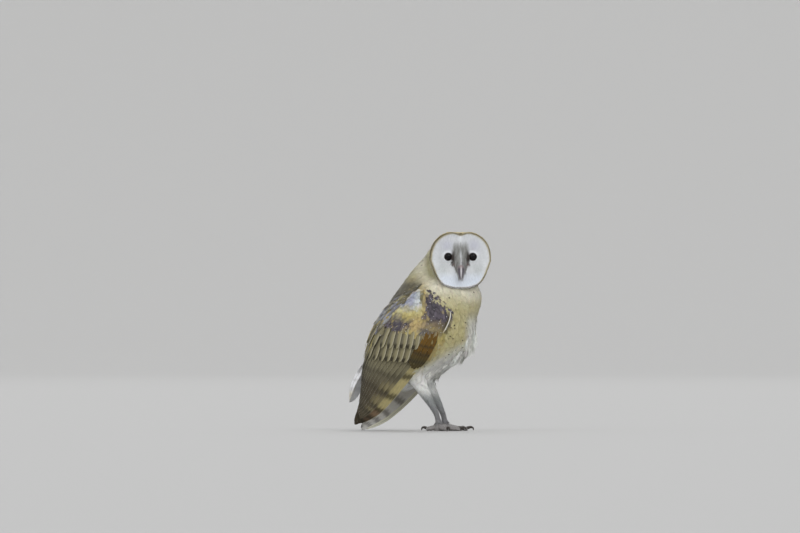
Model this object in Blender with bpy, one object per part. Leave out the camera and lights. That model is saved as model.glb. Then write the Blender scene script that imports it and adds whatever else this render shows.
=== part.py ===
"""A life-size barn owl standing with its wings folded and its head turned to its right.

Metres, +Z up. The bird's breast faces -Y and its right side faces -X, and it stands on Z = 0.
Side views are named sizes in millimetres, turned to metres by MM.
"""

import math

import bmesh
import bpy
import numpy as np
from mathutils import Vector

MM = 0.001
GAP = 0.3 * MM  # between touching pieces
JOINT_STEP = 0.02  # share of a station left open where one loft is parted in two

# Body, one row for each station down the spine:
# (back y, back z, front y, front z, half width)
BODY_STATIONS = (
    (19, 257, -44, 228, 27),  # inside the head
    (39, 236, -59, 206, 35),  # nape and throat
    (55, 215, -62, 186, 45),  # base of the neck
    (70, 194, -54, 163, 53),  # shoulders
    (84, 170, -52, 138, 54),  # breast
    (95, 146, -42, 114, 51),  # belly
    (103, 123, -18, 94, 46),  # flanks
    (110, 102, 14, 74, 38),  # thighs
    (113, 86, 50, 57, 28),  # vent
    (114, 74, 86, 59, 17),  # under the tail
)
BODY_SQUARENESS = 2.15  # 2 is an ellipse, and more is fuller at the corners
NECK_END = 2.0  # station where the neck meets the trunk

# Right wing, six stations from the shoulder to the tip, as x y z of each edge
LEADING_EDGE = (
    (-40, 8, 209),
    (-46, -31, 172),
    (-45, -12, 124),
    (-37, 31, 73),
    (-26, 80, 25.5),
    (-18, 120, 6),
)
TRAILING_EDGE = (
    (-36, 20, 214),
    (-24, 64, 191),
    (-11, 100, 149),
    (-17, 112, 96),
    (-22, 114.5, 52),
    (-19, 126, 13),
)
WING_REACH = (43, 60, 62, 51, 35, 21)  # how far out each station bulges
WING_THICKNESS = (7, 10, 9, 6, 3.6, 2.4)
WING_EDGE_SHARE = 0.3  # thickness at an edge over that in the middle
LEFT_WING_DROP = (0, 0, 3, 12, 10, 8.5)  # how much lower the left wing hangs
COVERTS_END = 2.45  # station where the coverts end and the bare flight feathers start

# Tail, one row for each station from its root to its tip: (y, z, half width, thickness)
TAIL_STATIONS = (
    (98, 124, 11, 8),
    (110, 105, 14, 6),
    (123, 87, 18, 4.5),
    (132, 67, 23, 3.2),
    (136.5, 41, 27, 2),
)
TAIL_ARCH = 4  # how much lower the edges lie than the middle
TAIL_ROUND = 14  # how much shorter the outer feathers are than the middle ones

# Head, with its own axes: across, up, and out of the face
HEAD_CENTRE = Vector((-17, -34.4, 246.5)) * MM
HEAD_TURN = math.radians(72)  # from straight ahead towards the bird's right
DISC_HALF_WIDTH = 42.5
DISC_ABOVE = 41  # from the centre up to the brows
DISC_BELOW = 38.5  # from the centre down to the chin
DISC_SQUARENESS = 2.4
DISC_TAPER = 0.1  # how much narrower the cheeks are than a plain oval
BROW_NOTCH = 4  # dip of the heart-shaped outline between the brows
BROW_NOTCH_WIDTH = 8
HEAD_RUFF = 3  # how far the crown and cheeks stand out past the disc
HEAD_SEGMENTS = 36
HEAD_BACK = 40  # from the centre to the back of the skull
RIM_OUT = 17  # how far out of the centre plane the disc's rim lies
BOWL_OUT = 12.5  # the same for the floor of the disc beside an eye
RIDGE_SPREAD = 9  # half width of the ridge that runs down to the bill

EYE_ACROSS = 18
EYE_UP = 5.8
EYE_OUT = 9.5
EYE_RADIUS = 7.4

BILL_TOP_UP = -7
BILL_TIP_UP = -25.5
BILL_HALF_WIDTH = 4.4

# Legs, x y z and radius of the right one from the thigh to the toes
LEG_STATIONS = (
    (-25, 30, 94, 17),
    (-24, 31, 80, 14),
    (-21.5, 25, 68, 9.6),
    (-20.5, 15, 51, 8.2),
    (-19.5, 6, 36, 5.8),
    (-18.5, -0.5, 22, 4.6),
    (-18, -2.5, 11, 4.6),
)
FOOT_CENTRE = (-18, -3)
TOE_START = 1.7  # from the foot's middle to where each toe starts, inside the ankle
TOE_RADIUS = 4.0
TOE_TIP_RADIUS = 2.9
# (name, bearing from straight ahead in degrees and positive outwards, length)
TOES = (("inner", -26, 27), ("middle", 4, 33), ("outer", 48, 27), ("hind", 172, 18))
CLAW_LENGTH = {"inner": 14, "middle": 14.5, "outer": 12.5, "hind": 12}
CLAW_RADIUS = 2.1

COLOURS = {
    "golden": ((0.56, 0.42, 0.17), 0.8),
    "breast": ((0.70, 0.60, 0.36), 0.85),
    "white": ((0.82, 0.80, 0.76), 0.85),
    "barred": ((0.42, 0.36, 0.20), 0.75),
    "pale_tail": ((0.72, 0.70, 0.68), 0.75),
    "leg": ((0.55, 0.50, 0.42), 0.8),
    "toe": ((0.36, 0.31, 0.27), 0.6),
    "claw": ((0.05, 0.04, 0.04), 0.35),
    "bill": ((0.72, 0.66, 0.60), 0.4),
    "eye": ((0.01, 0.01, 0.012), 0.08),
}


def clear_scene():
    for obj in list(bpy.data.objects):
        bpy.data.objects.remove(obj)


def new_collection(name, hidden=False):
    collection = bpy.data.collections.new(name)
    bpy.context.scene.collection.children.link(collection)
    collection.hide_render = hidden
    return collection


def material(name):
    made = bpy.data.materials.get(name)
    if made is None:
        colour, roughness = COLOURS[name]
        made = bpy.data.materials.new(name)
        made.use_nodes = True
        shader = made.node_tree.nodes["Principled BSDF"]
        shader.inputs["Base Color"].default_value = (*colour, 1)
        shader.inputs["Roughness"].default_value = roughness
        shader.inputs["Metallic"].default_value = 0
    return made


def add_mesh(name, bm, colour, collection):
    """Turns a bmesh into an object with smooth faces."""
    bmesh.ops.recalc_face_normals(bm, faces=bm.faces)
    mesh = bpy.data.meshes.new(name)
    bm.to_mesh(mesh)
    bm.free()
    mesh.shade_smooth()
    mesh.set_sharp_from_angle(angle=math.radians(50))
    obj = bpy.data.objects.new(name, mesh)
    obj.data.materials.append(material(colour))
    collection.objects.link(obj)
    return obj


def smooth_along(rows, at):
    """The rows' values at a fractional station, on a Catmull-Rom curve through them."""
    rows = np.array(rows, float)
    last = len(rows) - 1
    i = min(int(at), last - 1)
    t = at - i
    a, b = rows[max(i - 1, 0)], rows[i]
    c, d = rows[i + 1], rows[min(i + 2, last)]
    return 0.5 * (
        2 * b + (c - a) * t + (2 * a - 5 * b + 4 * c - d) * t**2 + (3 * b - a - 3 * c + d) * t**3
    )


def loft(name, rings, colour, collection):
    """A closed solid through rings of points, each with the same number of them, in millimetres."""
    bm = bmesh.new()
    made = [[bm.verts.new(Vector(point) * MM) for point in ring] for ring in rings]
    for near, far in zip(made, made[1:]):
        for i in range(len(near)):
            j = (i + 1) % len(near)
            bm.faces.new((near[i], near[j], far[j], far[i]))
    for ring in (made[0], made[-1]):
        middle = bm.verts.new(sum((v.co for v in ring), Vector()) / len(ring))
        for i in range(len(ring)):
            bm.faces.new((ring[i], ring[(i + 1) % len(ring)], middle))
    return add_mesh(name, bm, colour, collection)


def superellipse(angle, squareness):
    """Cosine and sine of an angle on a unit superellipse."""
    c, s = math.cos(angle), math.sin(angle)
    power = 2 / squareness
    return math.copysign(abs(c) ** power, c), math.copysign(abs(s) ** power, s)


def body_ring(at, points=26):
    back_y, back_z, front_y, front_z, half_width = smooth_along(BODY_STATIONS, at)
    middle = np.array((0, (back_y + front_y) / 2, (back_z + front_z) / 2))
    half_depth = np.array((0, back_y, back_z)) - middle
    ring = []
    for i in range(points):
        depth, side = superellipse(2 * math.pi * i / points, BODY_SQUARENESS)
        ring.append(middle + half_depth * depth + np.array((half_width * side, 0, 0)))
    return ring


def build_body(collection):
    last = len(BODY_STATIONS) - 1
    neck = loft(
        "neck",
        [body_ring(at) for at in np.linspace(0, NECK_END, 6)],
        "golden",
        collection,
    )
    start = NECK_END + JOINT_STEP
    trunk = loft(
        "trunk",
        [body_ring(at) for at in np.linspace(start, last, 15)],
        "breast",
        collection,
    )
    return neck, trunk


def wing_ring(at, points=13):
    """A crescent across the right wing: its outer line from edge to edge, then its inner line back."""
    leading = smooth_along(LEADING_EDGE, at)
    trailing = smooth_along(TRAILING_EDGE, at)
    reach = float(smooth_along(np.array(WING_REACH)[:, None], at)[0])
    thickness = float(smooth_along(np.array(WING_THICKNESS)[:, None], at)[0])
    first = math.pi - math.asin(min(-leading[0] / reach, 1))
    end = math.asin(min(-trailing[0] / reach, 1))
    outer = []
    for angle in np.linspace(first, end, points):
        share = (math.cos(angle) - math.cos(first)) / (math.cos(end) - math.cos(first))
        point = leading + (trailing - leading) * share
        point[0] = -reach * math.sin(angle)
        outer.append(point)
    outer = np.array(outer)
    along = np.gradient(outer, axis=0)
    chord = trailing - leading
    chord[0] = 0
    across_section = np.cross(chord, (1, 0, 0))
    inwards = np.cross(along, across_section)
    inwards /= np.linalg.norm(inwards, axis=1)[:, None]
    if inwards[points // 2][0] < 0:
        inwards = -inwards
    middle = np.sin(np.linspace(0, math.pi, points)) ** 0.6
    depth = thickness * (WING_EDGE_SHARE + (1 - WING_EDGE_SHARE) * middle)
    inner = outer + inwards * depth[:, None]
    return [*outer, *inner[::-1]]


def left_wing_ring(at):
    """The right wing's ring turned to the left side and let down a little."""
    drop = float(smooth_along(np.array(LEFT_WING_DROP)[:, None], at)[0])
    return [(-x, y, z - drop) for x, y, z in wing_ring(at)]


def build_wings(collection):
    last = len(WING_REACH) - 1
    spans = (
        ("wing", 0, COVERTS_END, 10, "golden"),
        ("flight", COVERTS_END + JOINT_STEP, last, 10, "barred"),
    )
    made = []
    for name, start, end, count, colour in spans:
        stations = np.linspace(start, end, count)
        right = [wing_ring(at) for at in stations]
        left = [left_wing_ring(at) for at in stations]
        made.append(loft(name + "_right", right, colour, collection))
        made.append(loft(name + "_left", left, colour, collection))
    return made


def build_tail(collection):
    last = len(TAIL_STATIONS) - 1
    steps = np.linspace(0, last, 9)
    path = np.array([smooth_along(TAIL_STATIONS, at) for at in steps])
    middles = np.column_stack((np.zeros(len(path)), path[:, :2]))
    rings = []
    for at, middle, along, row in zip(steps, middles, np.gradient(middles, axis=0), path):
        along /= np.linalg.norm(along)
        up = np.cross((1, 0, 0), along)
        half, thick = row[2:]
        ring = []
        for face in (1, -1):
            for side in np.linspace(-face, face, 9):
                drop = up * TAIL_ARCH * side**2
                short = along * TAIL_ROUND * side**2 * (at / last) ** 2
                middle_of_face = middle + up * face * thick / 2
                ring.append(middle_of_face + np.array((half * side, 0, 0)) - drop - short)
        rings.append(ring)
    return loft("tail", rings, "pale_tail", collection)


def head_axes():
    """Unit vectors across the face (to its left as it looks at you), up, and out of it."""
    out = Vector((-math.sin(HEAD_TURN), -math.cos(HEAD_TURN), 0))
    across = Vector((math.cos(HEAD_TURN), -math.sin(HEAD_TURN), 0))
    return across, Vector((0, 0, 1)), out


def head_point(across, up, out):
    """A point of the head's own axes, in millimetres, in the part's frame, in millimetres too."""
    a, b, c = head_axes()
    return HEAD_CENTRE / MM + a * across + b * up + c * out


def disc_outline(angle, grown=0.0):
    """The facial disc's outline, as across and up, with the dip between its brows."""
    side, height = superellipse(angle, DISC_SQUARENESS)
    across = (DISC_HALF_WIDTH + grown) * side
    if height > 0:
        up = (DISC_ABOVE + grown) * height
        up -= BROW_NOTCH * math.exp(-((across / BROW_NOTCH_WIDTH) ** 2))
    else:
        up = (DISC_BELOW + grown) * height
        across *= 1 - DISC_TAPER * math.sin(-math.pi * height)
    return across, up


def head_angles():
    return [2 * math.pi * (i + 0.5) / HEAD_SEGMENTS for i in range(HEAD_SEGMENTS)]


def ridge_height(up):
    """How far the ridge between the eyes stands out of the bowl."""
    rise = 16 * math.exp(-(((up + 7) / 19) ** 2))
    brow = 7 * math.exp(-(((up - 26) / 14) ** 2))
    return rise + brow


def face_depth(across, up, share):
    """How far out the disc's surface lies, share being 0 at its middle and 1 at its rim."""
    bowl = BOWL_OUT + (RIM_OUT - BOWL_OUT) * share**3
    spread = RIDGE_SPREAD * (1 - 0.012 * (up + 20))
    ridge = ridge_height(up) * math.exp(-((across / spread) ** 2))
    return bowl + ridge * (1 - share**4)


def build_head(collection):
    angles = head_angles()
    rings = []
    for turn in np.linspace(0.12, 1, 7):  # the back of the skull, from its pole to the ears
        size = math.sin(turn * math.pi / 2) ** 0.85
        out = 4 - (HEAD_BACK + 4) * math.cos(turn * math.pi / 2)
        ring = []
        for angle in angles:
            across, up = disc_outline(angle, HEAD_RUFF)
            ring.append(head_point(across * size, up * size, out))
        rings.append(ring)
    for grown, out in ((HEAD_RUFF, 11), (HEAD_RUFF * 0.6, RIM_OUT), (0, RIM_OUT + 1)):
        rings.append([head_point(*disc_outline(angle, grown), out) for angle in angles])
    for share in np.linspace(0.94, 0.08, 9):
        ring = []
        for angle in angles:
            across, up = (share * value for value in disc_outline(angle))
            ring.append(head_point(across, up, face_depth(across, up, share)))
        rings.append(ring)
    return loft("head", rings, "white", collection)


def face_cutter(collection):
    """What the face looks out through, which keeps the throat's plumage off the disc."""
    rings = [
        [head_point(*disc_outline(angle, HEAD_RUFF * 0.6), out) for angle in head_angles()]
        for out in (RIM_OUT - 4, RIM_OUT + 30)
    ]
    block = loft("cutter_face", rings, "white", collection)
    block.display_type = "WIRE"
    block.hide_render = True
    return block


def build_eyes(collection):
    eyes = []
    for name, side in (("eye_right", -1), ("eye_left", 1)):
        place = head_point(side * EYE_ACROSS, EYE_UP, EYE_OUT) * MM
        bm = bmesh.new()
        bmesh.ops.create_uvsphere(bm, u_segments=14, v_segments=8, radius=EYE_RADIUS * MM)
        bmesh.ops.translate(bm, verts=bm.verts, vec=place)
        eyes.append(add_mesh(name, bm, "eye", collection))
    return eyes


def bill_rings(steps, side_scale, start_out, hook, up_from, up_to):
    """Rings down a bill that starts in the face's ridge and curves over to its tip."""
    rings = []
    for t in np.linspace(0, 1, steps):
        up = up_from + (up_to - up_from) * t
        size = (1 - t) ** 0.6 * 0.94 + 0.06
        out = start_out + hook * math.sin(t * math.pi * 0.85)
        ring = []
        for k in range(10):
            angle = 2 * math.pi * k / 10
            across = BILL_HALF_WIDTH * side_scale * size * math.cos(angle)
            depth = 5.5 * size * math.sin(angle)
            ring.append(head_point(across, up + 0.25 * depth * (1 - t), out + depth))
        rings.append(ring)
    return rings


def build_bill(collection):
    upper = bill_rings(8, 1.0, 26, 3.2, BILL_TOP_UP, BILL_TIP_UP)
    lower = bill_rings(6, 0.8, 19, 1.0, BILL_TOP_UP - 8, BILL_TIP_UP + 3.5)
    return (
        loft("bill_upper", upper, "bill", collection),
        loft("bill_lower", lower, "bill", collection),
    )


def tube_rings(stations, side, points=12, flat=1.0):
    """Round rings square to a path of (x, y, z, radius) rows, which bends mostly about side."""
    path = np.array(stations, float)
    along = np.gradient(path[:, :3], axis=0)
    rings = []
    for (x, y, z, radius), direction in zip(path, along):
        up = np.cross(side, direction)
        up /= np.linalg.norm(up)
        ring = []
        for k in range(points):
            angle = 2 * math.pi * (k + 0.5) / points
            ring.append(
                np.array((x, y, z))
                + np.array(side) * radius * math.cos(angle)
                + up * radius * flat * math.sin(angle)
            )
        rings.append(ring)
    return rings


def mirror_stations(stations):
    return [(-x, *rest) for x, *rest in stations]


def build_legs(collection):
    steps = np.linspace(0, len(LEG_STATIONS) - 1, 13)
    right = [tuple(smooth_along(LEG_STATIONS, at)) for at in steps]
    return [
        loft("leg_right", tube_rings(right, (1, 0, 0)), "leg", collection),
        loft("leg_left", tube_rings(mirror_stations(right), (1, 0, 0)), "leg", collection),
    ]


def toe_stations(bearing, length):
    """The path of a toe of the right foot, from under the ankle to where its claw starts."""
    turn = math.radians(bearing)
    ahead = np.array((-math.sin(turn), -math.cos(turn)))
    rows = []
    for t in np.linspace(0, 1, 6):
        x, y = np.array(FOOT_CENTRE) + ahead * (TOE_START + (length - TOE_START) * t)
        radius = TOE_RADIUS + (TOE_TIP_RADIUS - TOE_RADIUS) * t
        lift = 3.2 * (1 - t) ** 2 + 0.8 * math.sin(3 * math.pi * t) ** 2
        rows.append((x, y, radius * 0.86 + lift, radius))
    return rows


def claw_stations(bearing, toe_length, claw_length):
    """The path of a claw, which arches up from the toe's end and comes down to a point."""
    turn = math.radians(bearing)
    ahead = np.array((-math.sin(turn), -math.cos(turn)))
    rows = []
    for t in np.linspace(0, 1, 7):
        bend = math.radians(10 + 95 * t)
        along = toe_length - 1.5 + claw_length * 0.72 * math.sin(t * math.radians(100))
        height = 3.6 + 2.2 * math.sin(math.pi * t) - 2.8 * t * (1 - math.cos(bend)) / 1.26
        radius = CLAW_RADIUS * (1 - t) ** 0.8 + 0.3
        rows.append((*(np.array(FOOT_CENTRE) + ahead * along), height, radius))
    return rows


def union(name, pieces, colour, collection):
    """Joins overlapping solids into one."""
    base = pieces[0]
    for other in pieces[1:]:
        cut(base, other, "UNION")
    obj = apply_modifiers(base, name, colour, collection)
    for other in pieces[1:]:
        bpy.data.objects.remove(other)
    return obj


def cut(obj, cutter, operation="DIFFERENCE"):
    modifier = obj.modifiers.new(cutter.name, "BOOLEAN")
    modifier.operation = operation
    modifier.object = cutter
    modifier.solver = "EXACT"


def apply_modifiers(obj, name, colour, collection):
    bpy.context.view_layer.update()
    graph = bpy.context.evaluated_depsgraph_get()
    mesh = bpy.data.meshes.new_from_object(obj.evaluated_get(graph))
    bpy.data.objects.remove(obj)
    made = bpy.data.objects.new(name, mesh)
    made.data.materials.clear()
    made.data.materials.append(material(colour))
    made.data.shade_smooth()
    made.data.set_sharp_from_angle(angle=math.radians(50))
    collection.objects.link(made)
    return made


def grown_copy(obj, collection, by=GAP):
    """A cutter: the same solid with its surface moved out by the gap between pieces."""
    copy = bpy.data.objects.new("cutter_" + obj.name, obj.data.copy())
    copy.data.materials.clear()
    collection.objects.link(copy)
    copy.display_type = "WIRE"
    copy.hide_render = True
    bm = bmesh.new()
    bm.from_mesh(copy.data)
    bm.normal_update()
    moves = [vert.normal * by * min(vert.calc_shell_factor(), 3) for vert in bm.verts]
    for vert, move in zip(bm.verts, moves):
        vert.co += move
    bm.to_mesh(copy.data)
    bm.free()
    return copy


def floor_cutter(collection):
    """A block whose top is the floor, which gives the toes and wing tips their small flats."""
    bm = bmesh.new()
    bmesh.ops.create_cube(bm, size=0.5)
    bmesh.ops.translate(bm, verts=bm.verts, vec=(0, 0, -0.25))
    block = add_mesh("cutter_floor", bm, "claw", collection)
    block.display_type = "WIRE"
    block.hide_render = True
    return block


def build_feet(collection, cutters, floor):
    """Each foot is four toes joined under the ankle, with a claw of its own on each toe."""
    feet, claws = [], []
    for side, flip in (("right", False), ("left", True)):
        toes = []
        for name, bearing, length in TOES:
            turn = math.radians(-bearing if flip else bearing)
            across = (math.cos(turn), -math.sin(turn), 0)
            rows = toe_stations(bearing, length)
            rows = mirror_stations(rows) if flip else rows
            rings = tube_rings(rows, across, 10, 0.92)
            toes.append(loft(f"toe_{name}", rings, "toe", collection))
            rows = claw_stations(bearing, length, CLAW_LENGTH[name])
            rows = mirror_stations(rows) if flip else rows
            rings = tube_rings(rows, across, 8)
            claws.append(loft(f"claw_{name}_{side}", rings, "claw", collection))
        x, y = FOOT_CENTRE
        ankle = [(x, y, 13.6, 4.3), (x, y, 9.3, 5.6), (x, y, 5.1, 6.3), (x, y, -2, 5.2)]
        ankle = mirror_stations(ankle) if flip else ankle
        toes.append(loft("ankle", tube_rings(ankle, (1, 0, 0)), "toe", collection))
        foot = union(f"foot_{side}", toes, "toe", collection)
        cut(foot, floor)
        feet.append(apply_modifiers(foot, f"foot_{side}", "toe", collection))
    finished = []
    for claw in claws:
        name = claw.name
        side = name.rsplit("_", 1)[1]
        foot = next(f for f in feet if f.name.endswith(side))
        cut(claw, grown_copy(foot, cutters))
        finished.append(apply_modifiers(claw, name, "claw", collection))
    return feet, finished


def part_pieces(head, eyes, bill, neck, trunk, wings, tail, legs, feet, cutters):
    """Cuts each solid back from the ones that keep their shape, so that none overlap."""

    def cut_from(obj, *keepers):
        for keeper in keepers:
            cut(obj, grown_copy(keeper, cutters, 2 * GAP))
        return obj

    upper, lower = bill
    cut_from(head, *eyes, upper, lower)
    cut_from(lower, upper)
    cut_from(neck, head, *wings)
    cut(neck, face_cutter(cutters))
    cut_from(tail, *wings)
    cut_from(trunk, tail, *wings)
    for leg, foot in zip(legs, feet):
        cut_from(leg, foot)
        cut(leg, grown_copy(trunk, cutters))
        cut_from(leg, *wings)


def centre_on_floor(objects):
    """Puts the middle of the whole bird's box over the origin."""
    bpy.context.view_layer.update()
    graph = bpy.context.evaluated_depsgraph_get()
    corners = []
    for obj in objects:
        shown = obj.evaluated_get(graph)
        corners += [shown.matrix_world @ Vector(corner) for corner in shown.bound_box]
    low = [min(corner[i] for corner in corners) for i in range(2)]
    high = [max(corner[i] for corner in corners) for i in range(2)]
    stand = bpy.data.objects.new("owl", None)
    bpy.context.scene.collection.objects.link(stand)
    for obj in bpy.data.objects:
        if obj is not stand:
            obj.parent = stand
    stand.location = (-(low[0] + high[0]) / 2, -(low[1] + high[1]) / 2, 0)
    bpy.context.view_layer.update()


def main():
    clear_scene()
    parts = new_collection("barn_owl")
    cutters = new_collection("cutters", hidden=True)
    floor = floor_cutter(cutters)
    neck, trunk = build_body(parts)
    wings = build_wings(parts)
    for i, wing in enumerate(wings):
        if wing.name == "flight_left":
            cut(wing, floor)
            wings[i] = apply_modifiers(wing, wing.name, "barred", parts)
    tail = build_tail(parts)
    head = build_head(parts)
    eyes = build_eyes(parts)
    bill = build_bill(parts)
    legs = build_legs(parts)
    feet, claws = build_feet(parts, cutters, floor)
    part_pieces(head, eyes, bill, neck, trunk, wings, tail, legs, feet, cutters)
    centre_on_floor([*wings, tail, head, *eyes, *bill, *legs, *feet, *claws, neck, trunk])


main()
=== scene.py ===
import math

import bmesh
import bpy
import numpy as np
from mathutils import Matrix, Vector
from mathutils.bvhtree import BVHTree
from mathutils.kdtree import KDTree


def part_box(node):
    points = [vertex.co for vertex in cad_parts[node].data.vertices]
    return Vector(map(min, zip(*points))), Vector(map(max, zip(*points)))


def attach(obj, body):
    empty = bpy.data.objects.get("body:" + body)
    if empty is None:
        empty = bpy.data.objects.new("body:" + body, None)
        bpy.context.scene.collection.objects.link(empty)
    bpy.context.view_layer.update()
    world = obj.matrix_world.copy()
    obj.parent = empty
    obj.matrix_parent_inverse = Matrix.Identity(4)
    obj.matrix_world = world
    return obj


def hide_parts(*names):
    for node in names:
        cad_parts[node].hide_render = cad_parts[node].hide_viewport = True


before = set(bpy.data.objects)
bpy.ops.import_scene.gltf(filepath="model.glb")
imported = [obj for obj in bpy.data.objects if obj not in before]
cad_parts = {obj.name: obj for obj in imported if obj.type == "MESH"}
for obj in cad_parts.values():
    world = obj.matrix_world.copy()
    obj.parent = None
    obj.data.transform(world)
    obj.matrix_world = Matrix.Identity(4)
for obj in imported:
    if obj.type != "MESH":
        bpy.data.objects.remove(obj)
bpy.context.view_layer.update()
dice = np.random.default_rng(11)
mm = 0.001

# Lengths below are in mm: left, back and up from a point on the floor 3 mm behind the ankles.
origin = np.array((0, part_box("foot_right")[0].y + 36.4 * mm, 0))


def toFrame(points):
    return np.asarray(points, float) * mm + origin


def toBody(points):
    return (np.asarray(points, float) - origin) / mm


def fade(low, high, value):
    t = np.clip((np.asarray(value, float) - low) / (high - low), 0, 1)
    return t * t * (3 - 2 * t)


def hump(value, middle, width):
    return np.exp(-(((value - middle) / width) ** 2))


def unit(vectors):
    return vectors / np.maximum(np.linalg.norm(vectors, axis=-1, keepdims=True), 1e-9)


def alongRows(rows, at):
    # a smooth curve through the rows, at fractional row numbers
    rows = np.asarray(rows, float)
    rows = rows if rows.ndim > 1 else rows[:, None]
    last = len(rows) - 1
    i = np.clip(np.floor(at).astype(int), 0, last - 1)
    t = (at - i)[..., None]
    a, b = rows[np.maximum(i - 1, 0)], rows[i]
    c, d = rows[i + 1], rows[np.minimum(i + 2, last)]
    return 0.5 * (2 * b + (c - a) * t + (2 * a - 5 * b + 4 * c - d) * t**2
                  + (3 * b - a - 3 * c + d) * t**3)


# camera and studio
studio = {
    "distance": 12.9, "turn": 75, "lens": 400, "eyeLevel": 0.146,
    "aimAside": 58, "aimUp": 238.5,  # the point that the camera looks at
    "floorFlat": 16.0, "sweep": 7.0, "sweepAngle": 80, "sweepSteps": 16, "sides": 96,
    "floorColour": (0.50, 0.495, 0.485), "paper": 0.85, "grain": 900, "grainRelief": 0.04,
    "sky": (0.95, 0.97, 1.0), "skyStrength": 0.58,
    "lamps": {  # turn round the bird, height above the horizon, softness and strength
        "keyLamp": (-50, 42, 34, 1.0), "frontLamp": (-77, 2, 8, 1.45),
        "fillLamp": (-128, 25, 60, 0.8), "backLamp": (100, 45, 45, 0.8),
    },
}


def addCamera():
    turn = math.radians(studio["turn"])
    towards = Vector((-math.sin(turn), -math.cos(turn), 0))
    aside = Vector((math.cos(turn), -math.sin(turn), 0))  # to the camera's right
    base = Vector(origin) - aside * studio["aimAside"] * mm
    place = base + towards * studio["distance"] + Vector((0, 0, studio["eyeLevel"]))
    aim = base + Vector((0, 0, studio["aimUp"] * mm))
    lens = bpy.data.cameras.new("camera")
    lens.lens = studio["lens"]
    lens.sensor_width = 36
    lens.clip_start, lens.clip_end = 0.1, 100
    camera = bpy.data.objects.new("camera", lens)
    bpy.context.scene.collection.objects.link(camera)
    camera.location = place
    camera.rotation_euler = (aim - place).to_track_quat("-Z", "Y").to_euler()
    bpy.context.scene.camera = camera
    bpy.context.view_layer.update()


def shaderOf(name, colour=(0.5, 0.5, 0.5), roughness=0.6):
    made = bpy.data.materials.new(name)
    made.use_nodes = True
    shader = made.node_tree.nodes["Principled BSDF"]
    shader.inputs["Base Color"].default_value = (*colour, 1)
    shader.inputs["Roughness"].default_value = roughness
    return made, made.node_tree, shader


def tintedShader(name, roughness):
    # a shader that takes its colour from the vertices' tints
    made, tree, shader = shaderOf(name, roughness=roughness)
    tint = tree.nodes.new("ShaderNodeAttribute")
    tint.attribute_name = "tint"
    tree.links.new(tint.outputs["Color"], shader.inputs["Base Color"])
    return made, shader


def addStudio():
    sides, steps = studio["sides"], studio["sweepSteps"]
    profile = [(r, 0.0) for r in (1.0, 4.0, 9.0, studio["floorFlat"])]
    for step in range(1, steps + 1):
        angle = math.radians(studio["sweepAngle"]) * step / steps
        profile.append((studio["floorFlat"] + studio["sweep"] * math.sin(angle),
                        studio["sweep"] * (1 - math.cos(angle))))
    bm = bmesh.new()
    loops = []
    for radius, height in profile:
        loops.append([bm.verts.new((radius * math.cos(2 * math.pi * i / sides),
                                    radius * math.sin(2 * math.pi * i / sides), height))
                      for i in range(sides)])
    middle = bm.verts.new((0, 0, 0))
    for i in range(sides):
        bm.faces.new((middle, loops[0][i], loops[0][(i + 1) % sides]))
    for near, far in zip(loops, loops[1:]):
        for i in range(sides):
            j = (i + 1) % sides
            bm.faces.new((near[i], far[i], far[j], near[j]))
    mesh = bpy.data.meshes.new("studioFloor")
    bm.to_mesh(mesh)
    bm.free()
    mesh.shade_smooth()
    floor = bpy.data.objects.new("studioFloor", mesh)
    bpy.context.scene.collection.objects.link(floor)
    paper, tree, shader = shaderOf("studioPaper", studio["floorColour"], studio["paper"])
    grain = tree.nodes.new("ShaderNodeTexNoise")
    grain.inputs["Scale"].default_value = studio["grain"]
    lift = tree.nodes.new("ShaderNodeBump")
    lift.inputs["Strength"].default_value = studio["grainRelief"]
    lift.inputs["Distance"].default_value = 0.0004
    tree.links.new(grain.outputs["Fac"], lift.inputs["Height"])
    tree.links.new(lift.outputs["Normal"], shader.inputs["Normal"])
    mesh.materials.append(paper)

    scene = bpy.context.scene
    world = bpy.data.worlds.new("softSky")
    world.use_nodes = True
    sky = world.node_tree.nodes["Background"]
    sky.inputs["Color"].default_value = (*studio["sky"], 1)
    sky.inputs["Strength"].default_value = studio["skyStrength"]
    scene.world = world
    scene.view_settings.view_transform = "Standard"

    for name, (turn, height, softness, strength) in studio["lamps"].items():
        light = bpy.data.lights.new(name, "SUN")
        light.angle = math.radians(softness)
        light.energy = strength
        lamp = bpy.data.objects.new(name, light)
        scene.collection.objects.link(lamp)
        turn, height = math.radians(turn), math.radians(height)
        flat = math.cos(height)
        towards = Vector((math.sin(turn) * flat, -math.cos(turn) * flat, math.sin(height)))
        lamp.rotation_euler = towards.to_track_quat("Z", "Y").to_euler()


addCamera()
addStudio()
print("camera and studio are set")

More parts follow.
